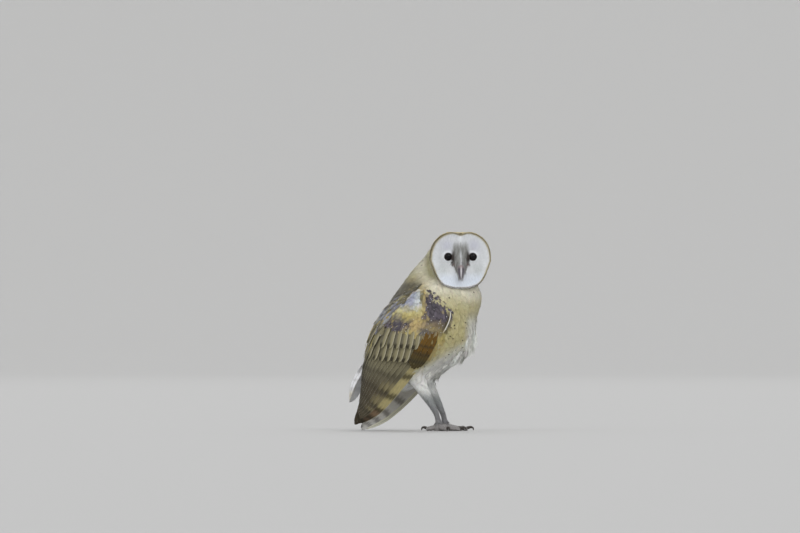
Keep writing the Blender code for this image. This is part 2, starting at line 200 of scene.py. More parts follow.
# the bird's colours
tints = {
    "breast": (0.60, 0.55, 0.31), "breastDeep": (0.55, 0.48, 0.22), "throat": (0.66, 0.63, 0.45),
    "nape": (0.47, 0.44, 0.26), "mantle": (0.105, 0.098, 0.072), "belly": (0.78, 0.78, 0.74),
    "crown": (0.36, 0.29, 0.13), "crownDark": (0.20, 0.155, 0.09), "thigh": (0.97, 0.975, 0.94),
    "leg": (0.33, 0.345, 0.345), "shank": (0.24, 0.235, 0.24), "bristle": (0.55, 0.54, 0.50),
    "toe": (0.30, 0.285, 0.28), "toeShadeAndGrain": (0.13, 0.115, 0.11), "claw": (0.028, 0.022, 0.018),
    "gold": (0.60, 0.47, 0.19), "olive": (0.25, 0.225, 0.12), "grey": (0.118, 0.102, 0.122),
    "palePatch": (0.42, 0.45, 0.57), "whitePatch": (0.62, 0.66, 0.68), "brownStrip": (0.20, 0.175, 0.11),
    "yellow": (0.60, 0.50, 0.18), "lemon": (0.66, 0.60, 0.30), "orange": (0.60, 0.46, 0.22),
    "blueGrey": (0.10, 0.12, 0.15), "greyLilac": (0.24, 0.235, 0.26), "covert": (0.29, 0.26, 0.145),
    "greyCovert": (0.215, 0.20, 0.145), "flight": (0.205, 0.185, 0.115), "flightGold": (0.62, 0.53, 0.25),
    "flightRed": (0.27, 0.17, 0.10), "flightLow": (0.10, 0.082, 0.05), "flightDark": (0.032, 0.026, 0.013),
    "rufous": (0.20, 0.10, 0.008), "rufousDark": (0.08, 0.058, 0.014), "shaft": (0.13, 0.10, 0.06),
    "whiteShaft": (0.82, 0.80, 0.72), "paleEdge": (0.60, 0.55, 0.40), "creamEdge": (0.96, 0.94, 0.76),
    "underWing": (0.90, 0.88, 0.83), "underBar": (0.20, 0.18, 0.16), "underGrey": (0.36, 0.36, 0.38),
    "tailUnder": (0.95, 0.96, 1.0), "tailTop": (0.42, 0.34, 0.17), "tailBar": (0.12, 0.10, 0.075),
    "face": (0.86, 0.88, 0.90), "faceLow": (0.82, 0.88, 0.97), "faceShade": (0.56, 0.60, 0.58),
    "faceLilac": (0.68, 0.69, 0.80), "besideFace": (0.86, 0.82, 0.68), "ridge": (0.215, 0.212, 0.185),
    "ridgeLow": (0.24, 0.21, 0.20), "eyeSmudge": (0.045, 0.034, 0.027), "rust": (0.22, 0.08, 0.04),
    "rimGold": (0.50, 0.40, 0.15), "rimDark": (0.09, 0.055, 0.025), "rimPink": (0.66, 0.52, 0.47),
    "rimWhite": (0.74, 0.72, 0.62), "lid": (0.035, 0.024, 0.022), "pupil": (0.003, 0.003, 0.004),
    "iris": (0.008, 0.005, 0.004), "billPink": (0.32, 0.26, 0.26), "billHighlight": (0.80, 0.79, 0.82),
    "billShade": (0.075, 0.064, 0.085), "spot": (0.05, 0.035, 0.022), "spotMiddle": (0.86, 0.85, 0.83),
}
tints = {name: np.array(colour) for name, colour in tints.items()}


def tintOf(colour):
    return tints[colour] if isinstance(colour, str) else np.asarray(colour, float)


def mix(first, second, share):
    share = np.asarray(share, float)[..., None]
    return tintOf(first) * (1 - share) + tintOf(second) * share


def blendAll(shape, base, *layers):
    # the base colour, with each layer's colour mixed in by its amount
    colour = np.broadcast_to(tintOf(base), (*shape, 3)).copy()
    for other, amount in layers:
        colour = mix(colour, other, np.broadcast_to(amount, shape))
    return colour


def boxMiddle(node):
    low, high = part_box(node)
    return toBody((low + high) / 2)


# the head's own axes: across, up and out of the face
eyeMiddles = {side: boxMiddle("eye_" + side) for side in ("right", "left")}
across = unit(eyeMiddles["left"] - eyeMiddles["right"])
across[2] = 0
across = unit(across)
upward = np.array((0.0, 0.0, 1.0))
outward = np.cross(across, upward)
eyes = {
    "aside": 18.0, "up": 5.8, "out": 9.5, "radius": 7.4, "sunk": 0.5, "bulge": 0.55, "bulgeAngle": 0.75,
    "pupilAngle": 0.5, "rings": 48, "sides": 72, "roughness": 0.04, "bending": 1.34, "shine": 0.35,
    "mound": (1.5, 5.6, 2.4),  # height, distance and width of the mound of feathers round each eye
}
headMiddle = (eyeMiddles["left"] + eyeMiddles["right"]) / 2 - upward * eyes["up"] - outward * eyes["out"]

disc = {
    "halfWidth": 42.5, "above": 41, "below": 38.5, "squareness": 2.4, "taper": 0.1,
    "notch": 4, "notchWidth": 8, "rimOut": 17, "bowlOut": 12.5, "ridgeSpread": 9,
    "ridge": ((16, -7, 19), (7, 26, 14)),  # height, middle and length of each swell of the ridge
}


def fromHead(a, b, c):
    a, b, c = (np.asarray(v, float)[..., None] for v in (a, b, c))
    return headMiddle + a * across + b * upward + c * outward


def toHead(points):
    offset = points - headMiddle
    return offset @ across, offset @ upward, offset @ outward


def discOutline(angle):
    # the heart-shaped edge of the face, as across and up
    c, s = np.cos(angle), np.sin(angle)
    power = 2 / disc["squareness"]
    side, height = np.sign(c) * abs(c) ** power, np.sign(s) * abs(s) ** power
    a = disc["halfWidth"] * side
    top = disc["above"] * height - disc["notch"] * hump(a, 0, disc["notchWidth"])
    low = disc["below"] * height
    a = np.where(height > 0, a, a * (1 - disc["taper"] * np.sin(-np.pi * np.minimum(height, 0))))
    return a, np.where(height > 0, top, low)


rimAngles = np.linspace(-np.pi, np.pi, 721)
rimAcross, rimUp = discOutline(rimAngles)
rimTurns = np.unwrap(np.arctan2(rimUp, rimAcross))
rimReach = np.hypot(rimAcross, rimUp)


def discShare(a, b):
    # 0 at the face's middle and 1 at its edge
    turn = np.arctan2(b, a)
    return np.hypot(a, b) / np.interp(turn, rimTurns, rimReach, period=2 * np.pi)


def eyeDistance(a, b):
    return np.hypot(abs(a) - eyes["aside"], b - eyes["up"])


def faceDepth(a, b):
    # how far out the face lies
    share = np.minimum(discShare(a, b), 1)
    bowl = disc["bowlOut"] + (disc["rimOut"] - disc["bowlOut"]) * share**3
    spread = disc["ridgeSpread"] * (1 - 0.012 * (b + 20))
    rise = sum(high * hump(b, middle, long) for high, middle, long in disc["ridge"])
    return bowl + rise * hump(a, 0, spread) * (1 - share**4)


def coatDepth(a, b):
    # the face with the low mounds of small feathers round the eyes
    high, away, wide = eyes["mound"]
    return faceDepth(a, b) + high * hump(eyeDistance(a, b), away, wide)


def facePoint(a, b, lift=0.0):
    a, b = np.asarray(a, float), np.asarray(b, float)
    return fromHead(a, b, coatDepth(a, b) + lift)


wing = {  # rows from the shoulder to the tip
    "leading": ((-40, 8, 209), (-46, -31, 172), (-45, -12, 124), (-37, 31, 73), (-26, 80, 25.5),
                (-18, 120, 6)),
    "trailing": ((-36, 20, 214), (-24, 64, 191), (-11, 100, 149), (-17, 112, 96), (-22, 114.5, 52),
                 (-19, 126, 13)),
    "reach": (43, 60, 62, 51, 35, 21),
    "leftDrop": (0, 0, 3, 12, 10, 8.5),
}


def wingSurface(row, share):
    lead, trail = alongRows(wing["leading"], row), alongRows(wing["trailing"], row)
    reach = alongRows(wing["reach"], row)[..., 0]
    first = np.cos(np.pi - np.arcsin(np.clip(-lead[..., 0] / reach, 0, 1)))
    end = np.cos(np.arcsin(np.clip(-trail[..., 0] / reach, 0, 1)))
    turn = np.clip(first + (end - first) * share, -0.995, 0.995)
    point = lead + (trail - lead) * share[..., None]
    point[..., 0] = -reach * np.sqrt(1 - turn**2)
    return point


def onWing(row, share, lift, left=False):
    # points on the wing's outer side, lifted off it, and its outward normals
    row, share = np.broadcast_arrays(np.asarray(row, float), np.asarray(share, float))
    middle = wingSurface(row, share)
    down = wingSurface(row + 0.02, share) - wingSurface(row - 0.02, share)
    back = wingSurface(row, share + 0.02) - wingSurface(row, share - 0.02)
    normal = unit(np.cross(down, back))
    normal = np.where(normal[..., :1] > 0, -normal, normal)
    point = middle + normal * np.asarray(lift, float)[..., None]
    if left:
        point, normal = point * (-1, 1, 1), normal * (-1, 1, 1)
        point[..., 2] -= alongRows(wing["leftDrop"], row)[..., 0]
    return point, normal


def tintValues(tint):
    return {"tint": ("FLOAT_COLOR", np.column_stack((tint, np.ones(len(tint)))))}


def meshPiece(name, points, quads, material, values=None, patches=None):
    mesh = bpy.data.meshes.new(name)
    points = toFrame(points).astype(np.float32)
    mesh.vertices.add(len(points))
    mesh.vertices.foreach_set("co", points.ravel())
    mesh.loops.add(quads.size)
    mesh.loops.foreach_set("vertex_index", quads.ravel().astype(np.int32))
    mesh.polygons.add(len(quads))
    mesh.polygons.foreach_set("loop_start", np.arange(0, quads.size, quads.shape[1], dtype=np.int32))
    mesh.update(calc_edges=True)
    for key, (kind, data) in (values or {}).items():
        layer = mesh.attributes.new(key, kind, "POINT")
        field = "color" if kind == "FLOAT_COLOR" else "vector"
        layer.data.foreach_set(field, np.asarray(data, np.float32).ravel())
    if patches is not None:
        chart = mesh.uv_layers.new(name="OFBake")
        chart.uv.foreach_set("vector", patches[quads.ravel()].astype(np.float32).ravel())
    mesh.shade_smooth()
    mesh.materials.append(material)
    piece = bpy.data.objects.new(name, mesh)
    bpy.context.scene.collection.objects.link(piece)
    return piece


def gridQuads(count, rows, columns):
    r, c = np.meshgrid(np.arange(rows - 1), np.arange(columns - 1), indexing="ij")
    corner = (r * columns + c).ravel()
    quads = np.stack((corner, corner + columns, corner + columns + 1, corner + 1), 1)
    return (quads[None] + (np.arange(count) * rows * columns)[:, None, None]).reshape(-1, 4)


def ringQuads(rows, turns):
    # the faces between closed rings of points
    i, j = np.meshgrid(np.arange(rows - 1), np.arange(turns), indexing="ij")
    k = (j + 1) % turns
    ring, following = i * turns, (i + 1) * turns
    return np.stack((ring + j, following + j, following + k, ring + k), -1).reshape(-1, 4)


def vaneWidths(t, root=0.35, widest=0.45, tip=0.3):
    # a feather's half width along its length, as a share of its widest
    grow = root + (1 - root) * np.sin(np.clip(t / widest, 0, 1) * np.pi / 2)
    close = np.clip((t - 0.66) / 0.34, 0, 1)
    return grow * np.sqrt(1 - close**2.4 * (1 - tip**2))


feather = {  # a small feather's size on its chart, and how its barbs and web are made
    "cell": (0.0013, 0.003), "barb": 1.3, "barbTones": 0.04, "loose": 0.06, "web": 0.82, "webSink": 0.15,
    "webShade": 0.97, "webRagged": 0.12,
}


def mapPlaces(patch, aside, down, shape):
    # each feather's place on its chart, with its points a little across and along it
    return patch + np.stack(np.broadcast_arrays(aside, down, np.zeros(shape)), -1)[..., :2]


def makeVanes(spine, ups, halfWidth, tint, patch, columns=5, camber=0.15, ragged=0.1, marks=None, shape=None,
              thick=0.0, underTint=None, hand=1, shift=0.0, roll=0.0, cell=feather["cell"]):
    # spine and ups are (feathers, rows, 3); tint is one colour each, or one for each vertex
    count, rows = spine.shape[:2]
    t, q = np.linspace(0, 1, rows), np.linspace(-1, 1, columns)
    along = unit(np.gradient(spine, axis=1))
    side = unit(np.cross(ups, along)) * hand
    ups = unit(np.cross(along, side)) * hand
    width = np.asarray(halfWidth, float)[:, None] * vaneWidths(t, **(shape or {}))[None]
    offset = width[:, :, None] * (q - shift)
    points = spine[:, :, None] + side[:, :, None] * offset[..., None]
    sink = camber * width[:, :, None] * (q - shift) ** 2 - roll * offset
    points = points - ups[:, :, None] * sink[..., None]
    length = np.linalg.norm(np.diff(spine, axis=1), axis=2).sum(1)
    if ragged:
        comb = ragged * length[:, None] * (dice.random((count, columns)) - 0.62)
        comb -= 0.5 * ragged * length[:, None] * abs(q)
        reach = np.clip((t - 0.6) / 0.4, 0, 1)[None, :, None] * comb[:, None, :]
        points = points + along[:, :, None] * reach[..., None]
    if tint.ndim == 2:
        tint = np.broadcast_to(tint[:, None, None], points.shape)
    tint = np.broadcast_to(tint, points.shape)
    down = t[None, :, None] * length[:, None, None]
    vane = np.stack(np.broadcast_arrays(offset, down, length[:, None, None] - down), -1)
    marks = np.zeros((count, 3)) if marks is None else marks
    marks = np.broadcast_to(marks[:, None, None], points.shape)
    uv = mapPlaces(patch[:, None, None], q * cell[0], t[:, None] * cell[1], points.shape[:3])
    top = dict(points=points, tint=tint, vane=vane, marks=marks, uv=uv)
    quads = gridQuads(count, rows, columns)
    quads = quads[:, ::-1] if hand < 0 else quads
    if not thick:
        return packVanes([top], [quads])
    thin = thick * (1 - 0.6 * abs(q))[None, None, :, None]
    under = dict(top, points=points - ups[:, :, None] * thin,
                 tint=np.broadcast_to(underTint, points.shape), uv=uv + (0, 0.5))
    return packVanes([top, under], [quads, quads[:, ::-1]])


def packVanes(layers, quadSets):
    total, out, faces = 0, {}, []
    for layer, quads in zip(layers, quadSets):
        for key, value in layer.items():
            out.setdefault(key, []).append(value.reshape(-1, value.shape[-1]))
        faces.append(quads + total)
        total += len(out["points"][-1])
    return {key: np.concatenate(value) for key, value in out.items()}, np.concatenate(faces)


def coatPiece(name, sets, material):
    points, quads, values, start = [], [], {"tint": [], "vane": [], "marks": [], "uv": []}, 0
    for data, faces in sets:
        points.append(data["points"])
        quads.append(faces + start)
        start += len(data["points"])
        for key in values:
            values[key].append(data[key])
    values = {key: np.concatenate(v) for key, v in values.items()}
    piece = meshPiece(name, np.concatenate(points), np.concatenate(quads), material,
                      {**tintValues(np.clip(values["tint"], 0, 1)), "vane": ("FLOAT_VECTOR", values["vane"]),
                       "marks": ("FLOAT_VECTOR", values["marks"])}, values["uv"])
    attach(piece, "root")
    print(f"{name}: {2 * len(piece.data.polygons)} triangles")
    return piece


plumage = {
    "looks": {  # roughness, sheen, strength of the streaks and how fine they are
        "softPlumage": (0.85, 0.3, 0.2, 1.0), "wingPlumage": (0.72, 0.05, 0.16, 1.0),
        "facePlumage": (0.6, 0.35, 0.12, 2.0),
    },
    "sheenRoughness": 0.5, "specular": 0.3, "barbSlant": 1.1, "barbAcross": 0.25, "barbAlong": 2.6,
    "relief": 0.35, "reliefDepth": 0.00012,
}


def plumageMaterial(name, roughness, sheen, streak, fine):
    made, tree, shader = shaderOf(name, roughness=roughness)
    nodes, links = tree.nodes, tree.links
    shader.inputs["Sheen Weight"].default_value = sheen
    shader.inputs["Sheen Roughness"].default_value = plumage["sheenRoughness"]
    shader.inputs["Specular IOR Level"].default_value = plumage["specular"]

    def attribute(key):
        node = nodes.new("ShaderNodeAttribute")
        node.attribute_name = key
        return node

    def maths(kind, first, second=None, clamp=False):
        node = nodes.new("ShaderNodeMath")
        node.operation = kind
        node.use_clamp = clamp
        for socket, value in zip(node.inputs, (first, second)):
            if value is None:
                continue
            if isinstance(value, (int, float)):
                socket.default_value = value
            else:
                links.new(value, socket)
        return node.outputs[0]

    def blend(kind, factor, first, second):
        node = nodes.new("ShaderNodeMix")
        node.data_type = "RGBA"
        node.blend_type = kind
        for socket, value in ((node.inputs[0], factor), (node.inputs[6], first), (node.inputs[7], second)):
            if isinstance(value, np.ndarray):
                socket.default_value = (*value, 1)
            elif isinstance(value, (int, float)):
                socket.default_value = value
            else:
                links.new(value, socket)
        return node.outputs[2]

    vane = nodes.new("ShaderNodeSeparateXYZ")
    links.new(attribute("vane").outputs["Vector"], vane.inputs[0])
    marks = nodes.new("ShaderNodeSeparateXYZ")
    links.new(attribute("marks").outputs["Vector"], marks.inputs[0])
    sideways = maths("MULTIPLY", maths("ABSOLUTE", vane.outputs[0]), -plumage["barbSlant"])
    slant = maths("ADD", vane.outputs[1], sideways)
    barbs = nodes.new("ShaderNodeCombineXYZ")
    links.new(maths("MULTIPLY", vane.outputs[0], plumage["barbAcross"]), barbs.inputs[0])
    links.new(maths("MULTIPLY", slant, plumage["barbAlong"] * fine), barbs.inputs[1])
    links.new(maths("ADD", vane.outputs[2], vane.outputs[1]), barbs.inputs[2])
    lines = nodes.new("ShaderNodeTexNoise")
    lines.inputs["Scale"].default_value = 1.0
    lines.inputs["Detail"].default_value = 3
    links.new(barbs.outputs[0], lines.inputs["Vector"])
    tone = nodes.new("ShaderNodeMapRange")
    tone.inputs["From Min"].default_value = 0.25
    tone.inputs["From Max"].default_value = 0.75
    tone.inputs["To Min"].default_value = 1 - streak
    tone.inputs["To Max"].default_value = 1 + streak * 0.6
    links.new(lines.outputs["Fac"], tone.inputs["Value"])
    shade = nodes.new("ShaderNodeCombineXYZ")
    for socket in shade.inputs:
        links.new(tone.outputs[0], socket)
    colour = blend("MULTIPLY", 1.0, attribute("tint").outputs["Color"], shade.outputs[0])
    # a dark spot with a pale middle, near the tip of each feather that has one
    fromTip = maths("SUBTRACT", vane.outputs[2], marks.outputs[2])
    away = maths("SQRT", maths("ADD", maths("POWER", vane.outputs[0], 2.0), maths("POWER", fromTip, 2.0)))
    dark = maths("MULTIPLY", maths("SUBTRACT", marks.outputs[0], away), 3.0, clamp=True)
    pale = maths("MULTIPLY", maths("SUBTRACT", marks.outputs[1], away), 4.0, clamp=True)
    colour = blend("MIX", dark, colour, tints["spot"])
    colour = blend("MIX", pale, colour, tints["spotMiddle"])
    links.new(colour, shader.inputs["Base Color"])
    bump = nodes.new("ShaderNodeBump")
    bump.inputs["Strength"].default_value = plumage["relief"]
    bump.inputs["Distance"].default_value = plumage["reliefDepth"]
    links.new(lines.outputs["Fac"], bump.inputs["Height"])
    links.new(bump.outputs["Normal"], shader.inputs["Normal"])
    return made


softPlumage, wingPlumage, facePlumage = (plumageMaterial(name, *look)
                                         for name, look in plumage["looks"].items())

# the skin under the plumage
skinShape = {
    "voxel": 1.4, "swell": 0.45, "smooth": 6,
    "nape": (((-10, 2, 248), (21, 19, 19)),),  # middle and radii of a ball that fills the nape
    "seamSpread": 40, "seamSmooth": 60, "seamStrength": (7, 26),  # the last is added on the left
    "depths": {"head": 2.4, "neck": 4.0, "trunk": 4.2, "wing": 3.6, "leg": 1.7, "foot": -0.1},
    "faceDepth": 1.0, "depthSmooth": 8, "roughness": 0.8, "shade": 0.85,
}
fleshNodes = ["head", "neck", "trunk", "wing_right", "wing_left", "leg_right", "leg_left",
              "foot_right", "foot_left"]
kinds = [name.split("_")[0] for name in fleshNodes]


def cadArrays(names):
    points, faces, owner, start = [], [], [], 0
    for i, name in enumerate(names):
        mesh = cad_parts[name].data
        mesh.calc_loop_triangles()
        co = np.empty(len(mesh.vertices) * 3, np.float32)
        mesh.vertices.foreach_get("co", co)
        tri = np.empty(len(mesh.loop_triangles) * 3, np.int32)
        mesh.loop_triangles.foreach_get("vertices", tri)
        points.append(toBody(co.reshape(-1, 3)))
        faces.append(tri.reshape(-1, 3) + start)
        owner += [i] * (len(tri) // 3)
        start += len(points[-1])
    return np.concatenate(points), np.concatenate(faces), np.array(owner)


def remeshed(names, name, voxel, swell, extra=()):
    # one closed surface round the named solids, and round extra balls of (middle, radii)
    bm = bmesh.new()
    for middle, radii in extra:
        place = Matrix.Translation(Vector(toFrame(middle))) @ Matrix.Diagonal((*(np.array(radii) * mm), 1))
        bmesh.ops.create_icosphere(bm, subdivisions=4, radius=1, matrix=place)
    for node in names:
        bm.from_mesh(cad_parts[node].data)
    bmesh.ops.remove_doubles(bm, verts=bm.verts, dist=0.00001)
    bm.normal_update()
    moves = [v.normal * swell * mm for v in bm.verts]
    for v, move in zip(bm.verts, moves):
        v.co += move
    mesh = bpy.data.meshes.new(name)
    bm.to_mesh(mesh)
    bm.free()
    solid = bpy.data.objects.new(name, mesh)
    bpy.context.scene.collection.objects.link(solid)
    wrap = solid.modifiers.new("remesh", "REMESH")
    wrap.mode = "VOXEL"
    wrap.voxel_size = voxel * mm
    bpy.context.view_layer.update()
    made = bpy.data.meshes.new_from_object(solid.evaluated_get(bpy.context.evaluated_depsgraph_get()))
    bpy.data.objects.remove(solid)
    return made


def meshArrays(mesh):
    co = np.empty(len(mesh.vertices) * 3, np.float32)
    mesh.vertices.foreach_get("co", co)
    quads = np.array([tuple(p.vertices) for p in mesh.polygons if len(p.vertices) == 4])
    return toBody(co.reshape(-1, 3)), quads


def relax(values, quads, rounds, share=0.5):
    # averages each vertex's values with its neighbours'
    edges = np.concatenate([quads[:, [i, (i + 1) % 4]] for i in range(4)])
    edges = np.concatenate((edges, edges[:, ::-1]))
    degree = np.bincount(edges[:, 0], minlength=len(values))
    values = values.reshape(len(values), -1).astype(float)
    for _ in range(rounds):
        total = np.stack([np.bincount(edges[:, 0], values[edges[:, 1], k], len(values))
                          for k in range(values.shape[1])], 1)
        values = values * (1 - share) + share * total / np.maximum(degree, 1)[:, None]
    return values


def vertexNormals(points, quads):
    flat = np.cross(points[quads[:, 2]] - points[quads[:, 0]], points[quads[:, 3]] - points[quads[:, 1]])
    total = np.zeros_like(points)
    for i in range(4):
        for k in range(3):
            total[:, k] += np.bincount(quads[:, i], flat[:, k], len(points))
    return unit(total)


def treeOf(points, faces):
    return BVHTree.FromPolygons([tuple(p) for p in points], [tuple(map(int, f)) for f in faces])


cadPoints, cadFaces, cadOwner = cadArrays(fleshNodes)
cadTree = treeOf(cadPoints, cadFaces)


def ownersOf(points):
    return np.array([cadOwner[cadTree.find_nearest(Vector(p))[2]] for p in points])


skinPoints, skinQuads = meshArrays(remeshed(fleshNodes, "bodyForm", skinShape["voxel"], skinShape["swell"],
                                            skinShape["nape"]))
skinPoints = relax(skinPoints, skinQuads, skinShape["smooth"])
skinOwner = ownersOf(skinPoints)
# the nape runs smoothly into the neck
seam = np.zeros(len(skinPoints))
ends = skinQuads[:, [0, 2]]
meets = (skinOwner[ends].sum(1) == 1) & (skinOwner[ends].max(1) == 1)
seam[ends[meets].ravel()] = 1
seam[toHead(skinPoints)[2] > 6] = 0
strength = skinShape["seamStrength"][0] + skinShape["seamStrength"][1] * fade(-6, 6, skinPoints[:, 0])
seam = np.clip(relax(seam, skinQuads, skinShape["seamSpread"])[:, 0] * strength, 0, 1)
smoother = relax(skinPoints, skinQuads, skinShape["seamSmooth"])
skinPoints = skinPoints * (1 - seam[:, None]) + smoother * seam[:, None]
outerNormals = vertexNormals(skinPoints, skinQuads)
depths = np.array([skinShape["depths"][kind] for kind in kinds])[skinOwner]
headA, headB, headC = toHead(skinPoints)
onFace = (discShare(headA, headB) < 0.97) & (headC > 7) & (skinOwner == 0)
depths = np.where(onFace, skinShape["faceDepth"], depths)
depths = relax(depths, skinQuads, skinShape["depthSmooth"])[:, 0]
skinPoints = skinPoints - outerNormals * (depths + skinShape["swell"])[:, None]
skinPoints = relax(skinPoints, skinQuads, 2)
skinNormals = vertexNormals(skinPoints, skinQuads)
skinTree = treeOf(skinPoints, skinQuads)
print(f"skin: {len(skinQuads)} faces")

bodyLine = np.array((  # middle of the body, as up and back, from the floor upwards
    (40, 112), (66, 100), (71, 81), (88, 62), (108, 42), (130, 26), (154, 16), (178, 8), (200, -3),
    (221, -10), (242, -13), (300, -14)), float)


def lineBack(up):
    return np.interp(up, bodyLine[:, 0], bodyLine[:, 1])


def paleBelly(points):
    # 1 on the white feathers under the breast, 0 on the buff ones
    y, z = points[:, 1], points[:, 2]
    low = fade(8, -6, z - (100.5 - 0.63 * y)) * fade(62, 40, y)
    front = fade(-42, -51, y + 0.06 * (z - 150)) * fade(178, 154, z)
    return np.maximum(low, front)


def bodyTint(points):
    # the ground colour of the body's plumage at each point
    x, y, z = points.T
    a, b, c = toHead(points)
    edge = discShare(a, b)
    behind = (y - lineBack(z)) / 50
    uneven = np.sin(x * 0.31 + 2 * np.sin(z * 0.11)) * np.sin(z * 0.23 + y * 0.19)
    back = fade(0.1, 0.5, behind) * fade(240, 215, z) * fade(60, 85, z)
    mantle = 0.92 * fade(0.3, 0.6, behind + 0.12 * uneven) * fade(6, 18, abs(x))
    mantle = mantle * fade(226, 212, z + 5 * uneven) * fade(120, 150, z)
    beside = fade(1.75, 1.2, edge) * fade(-44, -20, c) * fade(22, 12, c) * fade(22, 4, b)
    head = fade(56, 46, np.linalg.norm(points - headMiddle, axis=1)) * fade(205, 214, z)
    top = head * fade(14, 8, c)
    rim = 0.8 * head * fade(1.3, 1.12, edge) * fade(-6, 4, c) * fade(-12, 4, b)
    return blendAll(x.shape, mix("breast", "breastDeep", 0.35 + 0.35 * uneven),
                    ("throat", fade(185, 208, z) * fade(0.2, -0.4, behind) * 0.8),
                    (mix("gold", "brownStrip", 0.4 + 0.4 * uneven), back * 0.85),
                    ("mantle", mantle),
                    ("nape", fade(-0.1, 0.5, behind) * fade(212, 234, z)),
                    ("besideFace", beside * 0.92),
                    ("belly", paleBelly(points)),
                    ("thigh", fade(94, 80, z) * fade(62, 46, y)),
                    ("tailUnder", fade(66, 84, y) * fade(0.1, -0.3, behind) * fade(110, 95, z)),
                    ("leg", fade(64, 46, z)),
                    ("shank", fade(46, 24, z)),
                    (mix("crown", "crownDark", 0.4 + 0.5 * uneven), top * fade(5, 28, b)),
                    (tints["rimGold"] * 1.25, rim),
                    ("nape", top * fade(28, 5, b) * fade(-34, -20, b)))


def patchOf(points):
    # a place on an unwrap round the body's own line
    x, y, z = points.T
    turn = np.arctan2(x, -(y - lineBack(z))) / (2 * np.pi) + 0.5
    return np.column_stack((turn, z / 300)) * 0.985 + 0.004


def legPatches(points):
    # places on a chart of each leg, round its own middle
    left = points[:, 0] > 0
    patch = np.empty((len(points), 2))
    for side in (False, True):
        own = points[left == side]
        level = np.round(own[:, 2] / 6).astype(int)
        middle = np.array([own[level == k, :2].mean(0) if (level == k).any() else (0, 0)
                           for k in range(level.max() + 1)])
        offset = own[:, :2] - middle[level]
        patch[left == side, 0] = (np.arctan2(*offset.T) / (2 * np.pi) + 0.5) * 0.47 + 0.01 + 0.5 * side
    patch[:, 1] = 0.01 + points[:, 2] / 120 * 0.95
    return patch


skinShader, shader = tintedShader("skinUnderPlumage", skinShape["roughness"])
skinColour = bodyTint(skinPoints)
faceShare = fade(1.02, 0.9, discShare(headA, headB)) * fade(4, 9, headC) * (skinOwner == 0)
skinColour = mix(skinColour, "face", faceShare)
# under the wing's feathers the skin is gold darkened by 0.8: painted shade under the feathers
skinColour = np.where(np.isin(skinOwner, (3, 4))[:, None], tints["gold"] * 0.8, skinColour)
skinColour = np.where((skinOwner > 6)[:, None], tints["shank"], skinColour)
skinColour = relax(skinColour, skinQuads, 3)

feet = {  # the right foot's middle, each toe's turn from straight ahead and length, and its scutes
    "middle": (-18, -3), "toes": ((-26, 27), (4, 33), (48, 27), (172, 18)), "scute": 1.75, "legScute": 2.1,
    "scuteRise": 0.16, "crease": 0.22, "pad": 6.2, "padRise": 0.35,
    "voxel": 0.52, "swell": 0.2, "top": 20, "join": 15.5, "inset": 2.35,
}


def toeWay(turn):
    # the way that a toe points, and the way across it
    ahead = np.array((-math.sin(math.radians(turn)), -math.cos(math.radians(turn)), 0))
    return ahead, np.array((-ahead[1], ahead[0], 0))


def footSkin():
    # scaled toes over padded soles, in a finer mesh that meets the rest under the leg's feathers
    nodes = ["foot_right", "foot_left", "leg_right", "leg_left"]
    points, quads = meshArrays(remeshed(nodes, "footForm", feet["voxel"], feet["swell"]))
    quads = quads[points[quads][:, :, 2].max(1) < feet["top"]]
    used, index = np.unique(quads, return_inverse=True)
    points, quads = points[used], index.reshape(quads.shape)
    points = relax(points, quads, 3)
    normals = vertexNormals(points, quads)
    offset = points[:, :2] * np.where(points[:, :1] > 0, (-1, 1), (1, 1)) - feet["middle"]
    best = np.full(len(points), 99.0)
    along, aside = np.zeros(len(points)), np.zeros(len(points))
    for toe in feet["toes"]:
        ahead, sideways = (way[:2] for way in toeWay(toe[0]))
        d, w = offset @ ahead, offset @ sideways
        cost = abs(w) + np.where(d < 0, 50, 0)
        nearer = cost < best
        best = np.where(nearer, cost, best)
        along, aside = np.where(nearer, d, along), np.where(nearer, w, aside)
    up = points[:, 2]
    top, sole = fade(-0.15, 0.45, normals[:, 2]), fade(0.1, -0.5, normals[:, 2])
    toe = fade(3.5, 6.5, along) * fade(12, 8, up)
    shank = 1 - toe
    ring = (along + 0.12 * aside**2) / feet["scute"]
    rise = np.where(shank > 0.5, up / feet["legScute"], ring)
    crease = hump(abs(rise - np.round(rise)), 0, 0.16)
    push = feet["scuteRise"] * (1 - crease) * (top * toe + 0.6 * shank)
    push = push - feet["crease"] * crease * (top * toe + 0.4 * shank)
    pads = np.sin(np.pi * (along - 2) / feet["pad"]) ** 2 * sole * toe
    x, y = points[:, 0], points[:, 1]
    grain = np.sin(x * 5.1 + 2 * np.sin(y * 3.3)) * np.sin(y * 5.7 + up * 4.1)
    push = push + feet["padRise"] * pads + 0.06 * grain * (1 - top)
    inset = feet["inset"] * fade(8, 17, up)
    points = points + normals * (push - inset)[:, None]
    points[:, 2] = np.maximum(points[:, 2], 0.02)
    # darker in the creases between the scutes and on the undersides of the soles: painted shade; the grain
    # adds real uneven tone
    dark = np.clip(crease * (top * toe + 0.5 * shank) + 0.35 * sole + 0.12 * grain, 0, 1)
    return points, quads, mix(mix("toe", "toeShadeAndGrain", dark), "shank", fade(9, 15, points[:, 2]))


toePoints, toeQuads, toeColour = footSkin()
kept = skinQuads[skinPoints[skinQuads][:, :, 2].mean(1) > feet["join"]]
skin = meshPiece("skin", np.concatenate((skinPoints, toePoints)),
                 np.concatenate((kept, toeQuads + len(skinPoints))), skinShader,
                 tintValues(np.concatenate((skinColour * skinShape["shade"], toeColour))))
loose = bmesh.new()
loose.from_mesh(skin.data)
bmesh.ops.delete(loose, geom=[v for v in loose.verts if not v.link_faces], context="VERTS")
loose.to_mesh(skin.data)
loose.free()
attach(skin, "root")
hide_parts(*fleshNodes)

laying = {"tries": 3.4, "closeness": 0.86}


